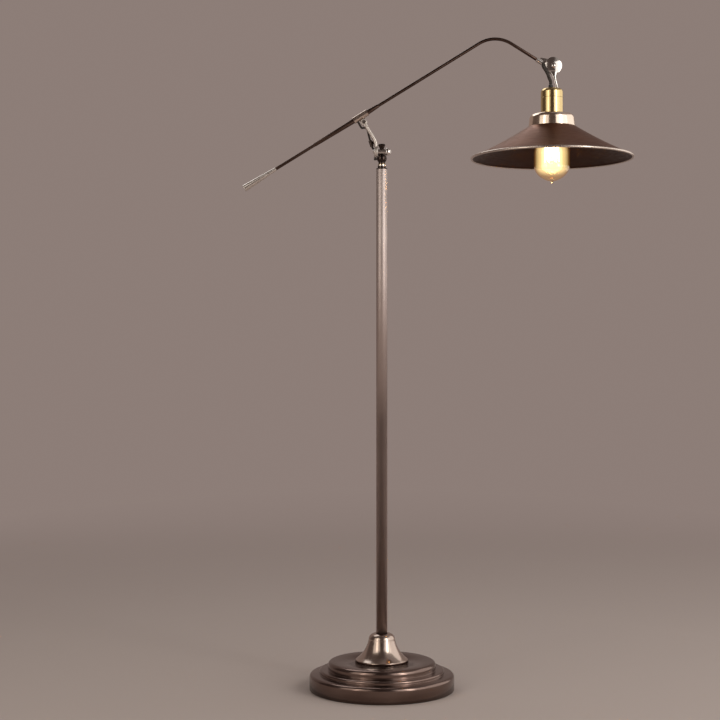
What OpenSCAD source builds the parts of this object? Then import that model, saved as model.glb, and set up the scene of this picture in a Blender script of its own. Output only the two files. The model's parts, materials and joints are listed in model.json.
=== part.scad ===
// Bridge floor lamp: a weighted round base, a slender pole, a swivelling knuckle,
// a bent link that carries a long cranked arm, and a tilting head with a brass
// lampholder, a polished shade fitter and a shallow flared shade.
// Origin: centre of the base on the floor. +Z up, +X towards the head. Millimetres.

/* [Base] */
// Widest diameter of the base
base_d = 272; // [240:1:300]
// Height of the lower drum of the base
drum_h = 30; // [26:0.5:36]
// Rounding of the drum's top edge
drum_round = 6; // [3:0.5:8]
// Step in from the drum's edge to the narrow bead
drum_step = 19; // [15:0.5:24]
// Radius of that bead's cross section
bead_round = 3.5; // [2.5:0.25:4]
// Step in from the bead to the upper tier
tier_step = 15; // [9:0.5:20]
// Radius of the upper tier's bullnose edge
tier_round = 7.5; // [5:0.25:7.5]
// Height of the base from the floor to its flat top
base_h = 53; // [50:0.5:58]
// Wall of the spun base shell
shell_t = 1.5; // [1:0.1:2]
// Thickness of the felt pad
pad_t = 3; // [2:0.25:4]
// Gap between the iron weight's rim and the shell
weight_gap = 6.5; // [4:0.5:20]
// Diameter of the weight's raised boss
boss_d = 80; // [60:1:110]
// Diameter of the mains lead's hole in the rubber inlet
inlet_d = 7.5; // [6:0.1:8.5]

/* [Bell and pole] */
// Diameter of the bell's foot
bell_d = 98; // [84:1:110]
// Height of the bell
bell_h = 52; // [44:0.5:60]
// Diameter across the bell's shoulder
bell_top_d = 50; // [44:0.5:56]
// Wall of the bell
bell_t = 1.5; // [1:0.1:2]
// Outside diameter of the pole
pole_d = 21; // [20:0.5:24]
// Wall of the pole
pole_t = 1.5; // [1:0.1:2]
// Height of the pole's top end above the floor
pole_top_z = 977; // [900:1:1050]

/* [Pole top knuckle] */
// Diameter of the bright collar on the pole's top
collar_d = 15.5; // [13:0.25:18]
// Height of that collar
collar_h = 7; // [5:0.25:9]
// Diameter of the knuckle's ball
ball_d = 19; // [17:0.25:21]
// Height of the knuckle bolt's axis above the pole's end
bolt_rise = 33; // [31:0.5:38]
// Diameter of the knuckle bolt
bolt_d = 6; // [5:0.25:7]
// Length of the knuckle's cross barrel
barrel_w = 14; // [13:0.5:17]
// Diameter of the cross barrel
barrel_d = 11; // [9.5:0.25:12]
// Top diameter of the flared cap screw
cap_screw_d = 14; // [12:0.25:14.5]
// Diameter of the clamp knob
knob_d = 14.5; // [12:0.25:17]

/* [Link] */
// Thickness of the bent link bar
link_t = 6.5; // [5:0.25:7]
// Width of the link bar
link_w = 11; // [10:0.25:13]
// Diameter of the link's eye
eye_d = 22; // [19:0.5:24]
// Length of the link's upright start above the bolt
link_up = 8; // [6:0.5:14]
// Radius of the link's bend
link_bend = 36; // [30:1:45]
// Length of the link's straight part, up to the arm's pivot
link_run = 33.4; // [28:0.2:45]

/* [Arm] */
// Slope of the arm's long part above level
arm_slope = 31.7; // [25:0.1:38]
// Slope of the arm's front part below level
nose_slope = 32.2; // [26:0.1:38]
// Outside diameter of the arm
arm_d = 6; // [5.8:0.1:7.5]
// Bore of the arm
arm_bore = 4.2; // [4:0.1:4.4]
// From the sleeve's middle to where the arm's two straight lines would cross
arm_reach = 298; // [240:1:340]
// From that crossing to the arm's front end
nose_len = 104; // [90:1:120]
// Radius of the arm's bend
arm_bend = 58; // [45:1:70]
// From the sleeve's middle to the tail's end
tail_len = 257; // [200:1:300]
// Length of the flared tail
flare_len = 62; // [40:1:80]
// Diameter of the flared tail's end
flare_d = 13.5; // [11:0.25:16]
// Outside diameter of the arm's sleeve
sleeve_d = 12.4; // [11.5:0.1:13]
// Length of the sleeve
sleeve_len = 30; // [28:0.5:36]
// Diameter of the two tapered collars where they meet the sleeve
taper_d = 9.6; // [8.5:0.1:11]
// Length of the tapered collar behind the sleeve
rear_taper_len = 86; // [60:1:100]
// Length of the tapered collar ahead of the sleeve
front_taper_len = 24; // [15:1:40]
// From the arm's axis down to the sleeve's pivot
ear_drop = 12.5; // [12.4:0.1:14]
// Diameter of the sleeve's pivot pin
pivot_d = 4; // [3.5:0.1:4.5]

/* [Head joint] */
// Diameter of the two joint discs
disc_d = 33; // [30:0.5:33]
// Thickness of each disc
disc_t = 5; // [4:0.25:6]
// Diameter of the joint bolt
joint_bolt_d = 6; // [5:0.25:7]
// From the arm's end to the joint, along the arm's nose
joint_fwd = 20.7; // [19:0.1:24]
// From the arm's nose up to the joint
joint_up = 6.9; // [6:0.1:9]
// From the joint down to the top of the lampholder
head_drop = 42.5; // [40:0.5:52]
// From the lampholder's axis forward to the joint
head_back = 2.6; // [1:0.1:5]

/* [Lampholder and shade] */
// Diameter of the brass lampholder
holder_d = 41.8; // [40:0.1:44]
// Height of the lampholder's cap
holder_cap_h = 18; // [16:0.5:22]
// Height of the lampholder above the shade fitter
holder_h = 49; // [44:0.5:56]
// Wall of the brass cap and shell
holder_t = 1; // [0.8:0.1:1.2]
// Diameter of the lampholder's threaded skirt
skirt_d = 39; // [38:0.1:39.5]
// Length of the threaded skirt below the fitter's top
skirt_len = 31; // [30:0.5:34]
// Height of the shade fitter
fitter_h = 23.5; // [20:0.5:26]
// Diameter of the shade fitter at its shoulder
fitter_top_d = 84; // [74:0.5:86]
// Diameter of the shade fitter at its foot
fitter_d = 88; // [86.5:0.5:94]
// Wall of the shade fitter
fitter_t = 1.2; // [1:0.1:1.6]
// Diameter of the shade over its rolled rim
shade_d = 306; // [270:1:330]
// Wall of the shade
shade_t = 0.8; // [0.6:0.1:1.4]
// Slope of the shade at its neck
shade_slope_top = 33; // [30:0.5:38]
// Slope of the shade at its rim
shade_slope_rim = 24.5; // [20:0.5:28]
// Diameter of the rolled rim's bead
rim_d = 4.4; // [3:0.1:4.5]

/* [Bulb] */
// Widest diameter of the glass bulb
bulb_d = 67; // [58:0.5:70]
// From the bulb's cap to its widest place
bulb_body = 84; // [76:1:90]
// Length of the bulb's straight side above its widest place
bulb_side = 25; // [10:1:27]
// From the widest place to the tip
bulb_nose = 30; // [26:0.5:36]
// Wall of the glass
glass_t = 0.8; // [0.6:0.1:1.2]
// Diameter of the bulb's screw cap
bulb_cap_d = 26.4; // [26.2:0.05:26.5]

/* [Hidden] */

$fn = 96;
eps = 0.01;
fit = 0.05;            // radial clearance of a shaft in its hole
gap = 0.1;             // clearance between faces that slide past each other
slip = 0.05;           // clearance of a washer's sliding face
lap = 0.02;            // overlap of pieces of one solid that meet end to end

// ---- base ----
wall_in = base_d / 2 - shell_t;
bead_d = base_d - 2 * drum_step;
tier_d = bead_d - 2 * tier_step;
weight_d = base_d - 2 * shell_t - 2 * weight_gap;
shell_foot_z = 1;
nipple_d = 10;
nipple_bore = 7;
nipple_hole_d = nipple_d + 0.6;
weight_z = pad_t;
weight_top_z = drum_h - shell_t - 1;
boss_top_z = base_h - shell_t;
nut_pocket_d = 32;
nut_pocket_z = 22;
nut_h = 8;
washer_t = 2;
nipple_z = nut_pocket_z - washer_t - nut_h - 2;
channel_w = 9;
channel_z = 14;
inlet_z = 12;
inlet_body_d = inlet_d + 4;
inlet_lip_d = inlet_body_d + 4;
inlet_lip_t = 2.2;

// ---- pole ----
foot_flange_d = 34;
foot_flange_h = 5;
pole_z = base_h + foot_flange_h;
pole_bore = pole_d - 2 * pole_t;
plug_d = pole_bore - 2 * fit;
foot_plug_h = 26;
nipple_top_z = pole_z + foot_plug_h - 12;
top_plug_h = 25;
top_flange_h = 1.5;
stud_d = 8;
stud_bore = 5.4;
lead_d = 3.8;
collar_top_z = pole_top_z + top_flange_h + collar_h;
swivel_washer_t = 0.8;
knuckle_z = collar_top_z + swivel_washer_t + slip;
stud_top_z = knuckle_z + 7;

// ---- knuckle ----
bolt_z = pole_top_z + bolt_rise;
ball_z = bolt_z - barrel_d / 2 - ball_d / 2 + 2.5;
knuckle_neck_d = collar_d - 3;
lead_exit_z = knuckle_z + 10;
lead_hole_d = lead_d + 0.8;
grub_d = 3;
grub_z = knuckle_z + 4;
cap_stem_d = 4;
cap_stem_h = 1.8;
cap_screw_h = 9;
bolt_hole_d = bolt_d + 2 * fit;
thin_washer_t = 0.4;
side_washer_t = 0.8;
eye_x = -(barrel_w / 2 + thin_washer_t + slip + link_t / 2);
bolt_head_d = bolt_d + 4.4;
bolt_head_h = 3;
bolt_left_x = eye_x - link_t / 2 - gap;
knob_face_x = barrel_w / 2 + side_washer_t;
knob_x = knob_face_x + knob_d * 0.2;
knob_hole_depth = knob_d * 0.5;
bolt_right_x = knob_face_x + knob_hole_depth - 1;

// ---- link: an upright start, a bend as steep as the arm, then a straight run ----
bend_z = bolt_z + link_up;
bend_cx = eye_x - link_bend;
run_dir = [-sin(arm_slope), cos(arm_slope)];
run_start = [bend_cx + link_bend * cos(arm_slope), bend_z + link_bend * sin(arm_slope)];
pivot = run_start + link_run * run_dir;
ear_t = 5;
fork_gap = ear_t + 2 * gap;
fork_d = 2 * (ear_drop - sleeve_d / 2 - 0.4);
fork_slot = fork_d / 2 + 2.6;
pin_head_d = pivot_d + 3;
pin_head_h = 1.7;

// ---- arm ----
arm_dir = [cos(arm_slope), sin(arm_slope)];
nose_dir = [cos(nose_slope), -sin(nose_slope)];
nose_up = [sin(nose_slope), cos(nose_slope)];
arm_mid = pivot + ear_drop * run_dir;
arm_turn = arm_slope + nose_slope;
bend_tangent = arm_bend * tan(arm_turn / 2);
crossing = arm_mid + arm_reach * arm_dir;
bend_start = crossing - bend_tangent * arm_dir;
arm_end = crossing + nose_len * nose_dir;
tail_end = arm_mid - tail_len * arm_dir;
flare_start = tail_end + flare_len * arm_dir;
flare_wall = 1.4;
tail_socket = 14;
lead_entry = -9;                   // along the sleeve from its middle
entry_hole_d = lead_d + 0.8;
thin_lead_d = arm_bore - 0.4;

// ---- head joint: a rear disc on the arm, a front disc on the head ----
joint = arm_end + joint_fwd * nose_dir + joint_up * nose_up;
joint_gap = 0.4;
joint_head_d = joint_bolt_d + 5;
joint_head_h = 3;
joint_nut_h = 5;
ferrule_d = arm_d + 4;
ferrule_len = 12;
tang_d = 6;
tang_root_d = 14;

// ---- head ----
axis_x = joint[0] - head_back;
cap_top_z = joint[1] - head_drop;
cap_flat_d = 24;
cap_round = holder_d / 2 - cap_flat_d / 2;
seam_z = cap_top_z - holder_cap_h;
fitter_z = cap_top_z - holder_h;
shade_z = fitter_z - fitter_h;
skirt_z = fitter_z - skirt_len;
skirt_hole_d = skirt_d + 2 * fit;
skirt_bore = skirt_d - 3;
fitter_round = 9;
ring_h = 5;
ring_d = skirt_d + 15;
foot_x = 9.5;                      // joint foot, forward of the lampholder's axis
foot_d = 7;
foot_h = 2.5;
stem_d = 4.6;
grip_d = 9;
grip_h = 6;
grip_x = -2.2;
joint_lead_d = 6.2;

// ---- shade: an arc whose slope falls from neck to rim ----
shade_neck_r = fitter_d / 2 + 0.5;
shade_rim_r = shade_d / 2 - rim_d / 2;
shade_arc = (shade_rim_r - shade_neck_r) / (sin(shade_slope_top) - sin(shade_slope_rim));
shade_cx = shade_neck_r + shade_arc * sin(shade_slope_top);
shade_cz = shade_z + shade_arc * cos(shade_slope_top);
shade_steps = 12;

// ---- socket and bulb ----
insulator_d = skirt_bore - 2 * fit;
insulator_top_z = cap_top_z - 20;
insulator_z = skirt_z + 13;
screw_shell_d = bulb_cap_d + 1.6;
screw_shell_t = 0.6;
screw_shell_h = 27;
contact_z = insulator_z + screw_shell_h + 2;
bulb_top_z = contact_z - 2.2;
bulb_cap_h = 24;
bulb_neck_z = bulb_top_z - bulb_cap_h;
bulb_neck_r = bulb_cap_d / 2 - 0.4;
bulb_wide_z = bulb_neck_z - bulb_body;
tip_h = 3;
stem_rod_d = 3;
loops = 6;
cage_r = 13;
cage_low = 74;
cage_h = 44;
filament_d = 1.6;

// ---- curves ----
function arc(c, r, a0, a1, n) =
    [for (i = [0:n]) let (a = a0 + (a1 - a0) * i / n) c + r * [cos(a), sin(a)]];

// Outline of the base shell set in by t, from its foot to its axis.
function shell_line(t) = concat(
    [[base_d / 2 - t, shell_foot_z]],
    arc([base_d / 2 - drum_round, drum_h - drum_round], drum_round - t, 0, 90, 8),
    [[bead_d / 2 - t, drum_h + 1 - t]],
    arc([bead_d / 2 - bead_round, drum_h + 1 + bead_round], bead_round - t, 0, 90, 6),
    [[tier_d / 2 - t, drum_h + 1 + 2 * bead_round - t]],
    arc([tier_d / 2 - tier_round, base_h - tier_round], tier_round - t, -25, 90, 12));

// Outline of the bell set in by t: a rounded shoulder, a hollow flare and a thin foot.
shoulder_r = min(12, (bell_top_d - pole_d) / 2 - 0.8);   // stays clear of the pole's hole
flare_foot = 3;
flare_r = (bell_h - shoulder_r - flare_foot) * 1.62;
function bell_line(t) = let (
    top = base_h + bell_h,
    side = bell_top_d / 2,
    foot = bell_d / 2,
    low = base_h + flare_foot,
    high = top - shoulder_r,
    chord = [side - foot, high - low],
    len = norm(chord),
    mid = [(side + foot) / 2, (high + low) / 2],
    out = [chord[1], -chord[0]] / len,
    c = mid + out * sqrt(flare_r * flare_r - len * len / 4),
    a_low = atan2(low - c[1], foot - c[0]) + 360,
    a_high = atan2(high - c[1], side - c[0]))
    concat(
        [[foot - t, base_h]],
        arc(c, flare_r + t, a_low, a_high < 0 ? a_high + 360 : a_high, 14),
        arc([side - shoulder_r, high], shoulder_r - t, 0, 90, 8));

// Shade surface, d below the outer one, from neck to rim.
function shade_line(d) = [for (i = [0:shade_steps])
    let (a = shade_slope_top + (shade_slope_rim - shade_slope_top) * i / shade_steps)
    [shade_cx, shade_cz] - (shade_arc + d) * [sin(a), cos(a)]];

// Glass radius: a swelling neck, a straight side, then a nose a little more pointed than an ellipse.
swell_h = bulb_body - bulb_side;
nose_power = 1.14;
function body_r(h) = bulb_neck_r + (bulb_d / 2 - bulb_neck_r) * pow(sin(90 * min(1, h / swell_h)), 1.9);
function bulb_line(t) = concat(
    [for (i = [0:16]) let (h = swell_h * i / 16) [body_r(h) - t, bulb_neck_z - h]],
    [for (i = [0:11]) let (a = i * 7.5)
        [(bulb_d / 2 - t) * pow(cos(a), nose_power),
         bulb_wide_z - (bulb_nose - tip_h - t) * pow(sin(a), nose_power)]]);

// ---- shapes ----
module lathe(points) {
    rotate_extrude() polygon(points);
}

module tube(d, bore, h) {
    difference() {
        cylinder(d = d, h = h);
        translate([0, 0, -1]) cylinder(d = bore, h = h + 2);
    }
}

// Rod of diameter d between two points of the XZ plane.
module rod(a, b, d) {
    v = b - a;
    translate([a[0], 0, a[1]])
        rotate([0, 90 - atan2(v[1], v[0]), 0])
            cylinder(d = d, h = norm(v));
}

// Cylinder along Y from y0 to y1 at a point of the XZ plane.
module across(p, d, y0, y1) {
    translate([p[0], y1, p[1]]) rotate([90, 0, 0]) cylinder(d = d, h = y1 - y0);
}

// Cylinder along X from x0 to x1 on the knuckle bolt's axis.
module on_bolt(d, x0, x1) {
    translate([x0, 0, bolt_z]) rotate([0, 90, 0]) cylinder(d = d, h = x1 - x0);
}

// A tube or lead swept along its own points; thin gives the diameters of its first few.
function unit(v) = v / norm(v);
function tangent(p, i) = unit(p[min(i + 1, len(p) - 1)] - p[max(i - 1, 0)]);
function frame_u(t) = unit(cross(t, abs(t[1]) < 0.9 ? [0, 1, 0] : [1, 0, 0]));
module lead(p, d, sides = 10, thin = []) {
    n = len(p);
    size = [for (i = [0:n - 1]) i < len(thin) ? thin[i] : d];
    rings = [for (i = [0:n - 1]) let (t = tangent(p, i), u = frame_u(t), v = cross(t, u))
        for (k = [0:sides - 1])
            p[i] + size[i] / 2 * (cos(360 * k / sides) * u + sin(360 * k / sides) * v)];
    sides_q = [for (i = [0:n - 2]) for (k = [0:sides - 1]) let (m = (k + 1) % sides)
        [i * sides + k, (i + 1) * sides + k, (i + 1) * sides + m, i * sides + m]];
    ends = [[for (k = [0:sides - 1]) k],
            [for (k = [0:sides - 1]) (n - 1) * sides + sides - 1 - k]];
    polyhedron(points = rings, faces = concat(sides_q, ends), convexity = 6);
}

// ---- base ----
module base_pad() {
    color("#2b2724") cylinder(r = wall_in - 1, h = pad_t);
}

module base_weight() {
    color("#4a4744") difference() {
        union() {
            translate([0, 0, weight_z]) cylinder(d = weight_d, h = weight_top_z - weight_z);
            translate([0, 0, weight_z]) cylinder(d = boss_d, h = boss_top_z - weight_z);
        }
        cylinder(d = nipple_hole_d, h = 2 * base_h);
        translate([0, 0, weight_z - 1]) cylinder(d = nut_pocket_d, h = nut_pocket_z - weight_z + 1);
        translate([-channel_w / 2, 0, weight_z - 1])
            cube([channel_w, base_d, channel_z - weight_z + 1]);
    }
}

module base_shell() {
    color("#3b302b") difference() {
        lathe(concat(shell_line(0), [[0, base_h], [0, base_h - shell_t]],
            [for (i = [len(shell_line(0)) - 1:-1:0]) shell_line(shell_t)[i]]));
        translate([0, 0, base_h - shell_t - 1]) cylinder(d = nipple_hole_d, h = shell_t + 2);
        translate([0, base_d / 2 + 5, inlet_z])
            rotate([90, 0, 0]) cylinder(d = inlet_body_d + 2 * fit, h = 20);
    }
}

module base_nipple() {
    color("#b9b4a6") translate([0, 0, nipple_z]) tube(nipple_d, nipple_bore, nipple_top_z - nipple_z);
}

module base_washer() {
    color("#b9b4a6") translate([0, 0, nut_pocket_z - washer_t])
        tube(nut_pocket_d - 4, nipple_d + 2 * fit, washer_t);
}

module base_nut() {
    color("#b9b4a6") translate([0, 0, nut_pocket_z - washer_t - nut_h]) difference() {
        cylinder(d = 19.6, h = nut_h, $fn = 6);
        translate([0, 0, -1]) cylinder(d = nipple_d + 2 * fit, h = nut_h + 2);
    }
}

module cord_inlet() {
    outer_y = base_d / 2 + 0.05;
    inner_y = wall_in - 0.5;
    color("#1c1a19") translate([0, 0, inlet_z]) difference() {
        union() {
            across([0, 0], inlet_body_d, inner_y - inlet_lip_t, outer_y + inlet_lip_t);
            across([0, 0], inlet_lip_d, outer_y, outer_y + inlet_lip_t);
            across([0, 0], inlet_lip_d - 1, inner_y - inlet_lip_t, inner_y);
        }
        across([0, 0], inlet_d, inner_y - 10, outer_y + 10);
    }
}

module bell_cover() {
    top = base_h + bell_h;
    hole = pole_d / 2 + 0.15;
    inner = bell_line(bell_t);
    color("#b4a698") lathe(concat(bell_line(0), [[hole, top], [hole, top - bell_t]],
        [for (i = [len(inner) - 1:-1:0]) inner[i]]));
}

// ---- pole ----
module pole_foot() {
    color("#8d8780") difference() {
        union() {
            translate([0, 0, base_h]) cylinder(d = foot_flange_d, h = foot_flange_h);
            translate([0, 0, pole_z - eps]) cylinder(d = plug_d, h = foot_plug_h);
        }
        translate([0, 0, base_h - 1])
            cylinder(d = nipple_d + 2 * fit, h = nipple_top_z - base_h + 1);
        translate([0, 0, base_h]) cylinder(d = nipple_bore, h = foot_plug_h + 20);
    }
}

module pole_tube() {
    color("#6d5f58") translate([0, 0, pole_z]) tube(pole_d, pole_bore, pole_top_z - pole_z);
}

module pole_top() {
    color("#c9c1b8") difference() {
        union() {
            translate([0, 0, pole_top_z - top_plug_h]) cylinder(d = plug_d, h = top_plug_h + eps);
            translate([0, 0, pole_top_z]) cylinder(d = pole_d, h = top_flange_h);
            translate([0, 0, pole_top_z]) cylinder(d = collar_d, h = collar_top_z - pole_top_z);
            translate([0, 0, pole_top_z]) cylinder(d = stud_d, h = stud_top_z - pole_top_z);
        }
        translate([0, 0, pole_top_z - top_plug_h - 1]) cylinder(d = stud_bore, h = top_plug_h + 60);
    }
}

// Hand-chosen route of the lead inside the base: in at the rear, then up the middle.
pole_lead_foot = [[0, wall_in - 8.5, 9], [0, wall_in - 34.5, 8], [0, 60, 6.6], [0, 24, 6], [0, 12, 5.9], [0, 6, 5.8],
                  [0, 2.5, 6.6], [0, 0.7, 8.6], [0, 0, 12], [0, 0, 20], [0, 0, 40], [0, 0, 90]];
pole_lead_run = [for (i = [1:8]) [0, 0, 90 + (stud_top_z - 91) * i / 8]];
module pole_lead() {
    color("#2a2523") lead(concat(pole_lead_foot, pole_lead_run), lead_d);
}

// ---- pole top knuckle ----
module swivel_washer() {
    color("#c8a55a") translate([0, 0, collar_top_z]) tube(collar_d - 1, stud_d + 2 * fit, swivel_washer_t);
}

module swivel_knuckle() {
    color("#2d2725") difference() {
        union() {
            translate([0, 0, knuckle_z]) cylinder(d = knuckle_neck_d, h = ball_z - knuckle_z);
            difference() {
                translate([0, 0, ball_z]) sphere(d = ball_d);
                on_bolt(eye_d + 2, -ball_d, -barrel_w / 2);
                on_bolt(knob_d + 1, barrel_w / 2, ball_d);
            }
            on_bolt(barrel_d, -barrel_w / 2, barrel_w / 2);
        }
        translate([0, 0, knuckle_z - 1]) cylinder(d = stud_d + 2 * fit, h = stud_top_z - knuckle_z + 1.2);
        translate([0, 0, knuckle_z - 1]) cylinder(d = lead_hole_d, h = lead_exit_z - knuckle_z + 1);
        translate([-ball_d, 0, lead_exit_z]) rotate([0, 90, 0]) cylinder(d = lead_hole_d, h = ball_d);
        translate([0, 0, lead_exit_z]) sphere(d = lead_hole_d);
        on_bolt(bolt_hole_d, -barrel_w, barrel_w);
        across([0, grub_z], grub_d + 2 * fit, 0, ball_d);
        translate([0, 0, bolt_z + barrel_d / 2 - cap_stem_h])
            cylinder(d = cap_stem_d + 2 * fit, h = cap_stem_h + 5);
    }
}

module swivel_grub_screw() {
    tip_y = stud_d / 2 + gap;
    color("#77716b") difference() {
        across([0, grub_z], grub_d, tip_y, ball_d / 2 - 1);
        translate([0, ball_d / 2, grub_z]) rotate([90, 0, 0]) cylinder(d = 1.5, h = 2.5, $fn = 6);
    }
}

module swivel_cap_screw() {
    seat_z = bolt_z + barrel_d / 2;
    color("#2d2725") translate([0, 0, seat_z]) {
        translate([0, 0, -cap_stem_h + gap]) cylinder(d = cap_stem_d, h = cap_stem_h);
        cylinder(d1 = cap_screw_d * 0.52, d2 = cap_screw_d, h = cap_screw_h - 2);
        translate([0, 0, cap_screw_h - 2 - eps])
            cylinder(d1 = cap_screw_d, d2 = cap_screw_d - 3, h = 2);
    }
}

module knuckle_bolt() {
    color("#cdc6bd") {
        on_bolt(bolt_d, bolt_left_x - eps, bolt_right_x);
        intersection() {
            on_bolt(bolt_head_d, bolt_left_x - bolt_head_h, bolt_left_x);
            translate([bolt_left_x + 2.4, 0, bolt_z]) sphere(r = bolt_head_h + 2.4);
        }
    }
}

module knuckle_washers() {
    color("#cdc6bd") difference() {
        union() {
            on_bolt(barrel_d, -barrel_w / 2 - thin_washer_t, -barrel_w / 2);
            on_bolt(barrel_d - 0.5, barrel_w / 2, knob_face_x);
        }
        on_bolt(bolt_hole_d, -barrel_w, barrel_w);
    }
}

module clamp_knob() {
    ribs = 24;
    color("#d8d2ca") difference() {
        intersection() {
            translate([knob_x, 0, bolt_z]) sphere(d = knob_d);
            on_bolt(knob_d + 2, knob_face_x + gap, knob_x + knob_d);
        }
        on_bolt(bolt_hole_d, knob_face_x - 1, knob_face_x + knob_hole_depth);
        for (i = [0:ribs - 1])
            translate([knob_x, 0, bolt_z]) rotate([i * 360 / ribs, 0, 0])
                translate([0, knob_d / 2 + 0.15, 0])
                    rotate([0, 90, 0]) cylinder(d = 0.9, h = knob_d * 0.36, center = true);
    }
}

// The lead's clip sits part way round the link's bend, off its rear left edge.
clip_turn = 18;
clip_out = [cos(clip_turn), sin(clip_turn)];
clip_up = [-sin(clip_turn), cos(clip_turn)];
clip_at = [bend_cx, bend_z] + link_bend * clip_out;
clip_d = lead_d + 3.2;
clip_h = 12;
clip_side = -link_t / 2 - clip_d / 2 - 1.1;
clip_y = 8.5;
clip_lead = clip_at + clip_side * clip_out;

// Hand-chosen route: out of the knuckle's left side, round behind the link's eye, to the clip.
knuckle_lead_points = concat(
    [[0, 0, stud_top_z + 0.3], [-0.3, 0, stud_top_z + 1.5], [-1.6, 0, lead_exit_z - 0.2]],
    [for (p = [[-4, 0, 0], [-9, 0, 0], [-11.6, 1.5, -0.2], [-13, 4.8, 0], [-13, 9, 1.8],
               [-12.6, 12.4, 5.6], [-12.2, 14, 10.2], [-12.6, 13.8, 14.5], [-14.2, 13, 18.6],
               [-15.9, 10.8, 21]])
        [p[0], p[1], lead_exit_z + p[2]]],
    [for (h = [-clip_h / 2 - 2.3, -clip_h / 2 + 0.5, -0.5])
        [clip_lead[0] + h * clip_up[0], clip_y, clip_lead[1] + h * clip_up[1]]]);
module knuckle_lead() {
    color("#2a2523") lead(knuckle_lead_points, lead_d);
}

// ---- link ----
module link_side() {
    far = 2 * link_bend;
    translate([eye_x - link_t / 2, bolt_z]) square([link_t, link_up + lap]);
    intersection() {
        translate([bend_cx, bend_z]) difference() {
            circle(r = link_bend + link_t / 2);
            circle(r = link_bend - link_t / 2);
        }
        translate([bend_cx, bend_z])
            polygon([[0, 0], [far, 0], [far, far * sin(arm_slope)], far * [cos(arm_slope), sin(arm_slope)]]);
    }
    translate(run_start) rotate(arm_slope)
        translate([-link_t / 2, -lap]) square([link_t, link_run + lap]);
}

module link_bar() {
    color("#c6bfb5") difference() {
        union() {
            on_bolt(eye_d, eye_x - link_t / 2, eye_x + link_t / 2);
            rotate([90, 0, 0]) translate([0, 0, -link_w / 2]) linear_extrude(link_w) link_side();
            across(pivot, fork_d, -link_w / 2, link_w / 2);
        }
        on_bolt(bolt_hole_d, eye_x - link_t, eye_x + link_t);
        across(pivot, pivot_d + 2 * fit, -link_w, link_w);
        translate([pivot[0], 0, pivot[1]]) rotate([0, -arm_slope, 0])
            translate([-fork_d, -fork_gap / 2, -fork_slot]) cube([2 * fork_d, fork_gap, 2 * fork_d]);
    }
}

// A ring that holds the lead, on a strap across the link's rear face.
module lead_clip() {
    color("#2d2725") translate([clip_at[0], 0, clip_at[1]]) rotate([0, -clip_turn, 0])
        difference() {
            union() {
                translate([clip_side, link_w / 2, -clip_h / 4])
                    cube([link_t / 2 - clip_side, 1, clip_h / 2]);
                translate([clip_side, clip_y, -clip_h / 2]) cylinder(d = clip_d, h = clip_h);
            }
            translate([clip_side, clip_y, -clip_h]) cylinder(d = lead_d + 2 * fit, h = 2 * clip_h);
        }
}

// From the clip, up behind the link, then forward into the underside of the sleeve.
entry = arm_mid + lead_entry * arm_dir;
entry_face = entry - (sleeve_d / 2) * run_dir;
link_lead_points = concat(
    [for (h = [-0.4, clip_h / 2, clip_h / 2 + 3])
        [clip_lead[0] + h * clip_up[0], clip_y, clip_lead[1] + h * clip_up[1]]],
    [for (q = [[-4.2, 8.6, -24], [-1.6, 8.6, -16.5], [-1.4, 8.3, -11], [-4.8, 7.9, -7.4], [-8.6, 5, -6]])
        [pivot[0] + q[0] * arm_dir[0] + q[2] * run_dir[0], q[1],
         pivot[1] + q[0] * arm_dir[1] + q[2] * run_dir[1]]],
    [[entry_face[0] - 4 * run_dir[0], 1.6, entry_face[1] - 4 * run_dir[1]],
     [entry_face[0] - 1.5 * run_dir[0], 0.2, entry_face[1] - 1.5 * run_dir[1]],
     [entry[0] - 3.2 * run_dir[0], 0, entry[1] - 3.2 * run_dir[1]]]);
module link_lead() {
    color("#2a2523") lead(link_lead_points, lead_d);
}

module sleeve_pin() {
    color("#d8d2ca") {
        across(pivot, pivot_d, -link_w / 2 - eps, link_w / 2 + pin_head_h);
        across(pivot, pin_head_d, -link_w / 2 - pin_head_h, -link_w / 2);
    }
}

module sleeve_pin_nut() {
    color("#d8d2ca") difference() {
        translate([pivot[0], link_w / 2 + pin_head_h + 1, pivot[1]])
            rotate([90, 0, 0]) cylinder(d = pin_head_d + 0.6, h = pin_head_h + 1, $fn = 6);
        across(pivot, pivot_d + 2 * fit, 0, link_w / 2 + pin_head_h + 0.2);
    }
}

// ---- arm ----
module arm_sleeve() {
    half = sleeve_len / 2;
    color("#b9b2a8") difference() {
        union() {
            rod(arm_mid - half * arm_dir, arm_mid + half * arm_dir, sleeve_d);
            across(pivot, 2 * (ear_drop - sleeve_d / 2) - 1.2, -ear_t / 2, ear_t / 2);
            translate([pivot[0], 0, pivot[1]]) rotate([0, -arm_slope, 0])
                translate([-ear_t, -ear_t / 2, 0]) cube([2 * ear_t, ear_t, ear_drop - 1]);
        }
        rod(arm_mid - sleeve_len * arm_dir, arm_mid + sleeve_len * arm_dir, arm_d + 2 * fit);
        across(pivot, pivot_d + 2 * fit, -ear_t, ear_t);
        rod(entry - sleeve_d * run_dir, entry, entry_hole_d);
    }
}

// A long taper from the sleeve's end face down to the arm, facing back or forward.
module taper(from, dir, len) {
    angle = atan2(dir[1], dir[0]);
    translate([from[0], 0, from[1]]) rotate([0, 90 - angle, 0]) difference() {
        cylinder(d1 = taper_d, d2 = arm_d + 1, h = len);
        translate([0, 0, -1]) cylinder(d = arm_d + 2 * fit, h = len + 2);
    }
}

module rear_taper() {
    color("#4c403a") taper(arm_mid - (sleeve_len / 2 + slip) * arm_dir, -arm_dir, rear_taper_len);
}

module front_taper() {
    color("#4c403a") taper(arm_mid + (sleeve_len / 2 + slip) * arm_dir, arm_dir, front_taper_len);
}

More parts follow.
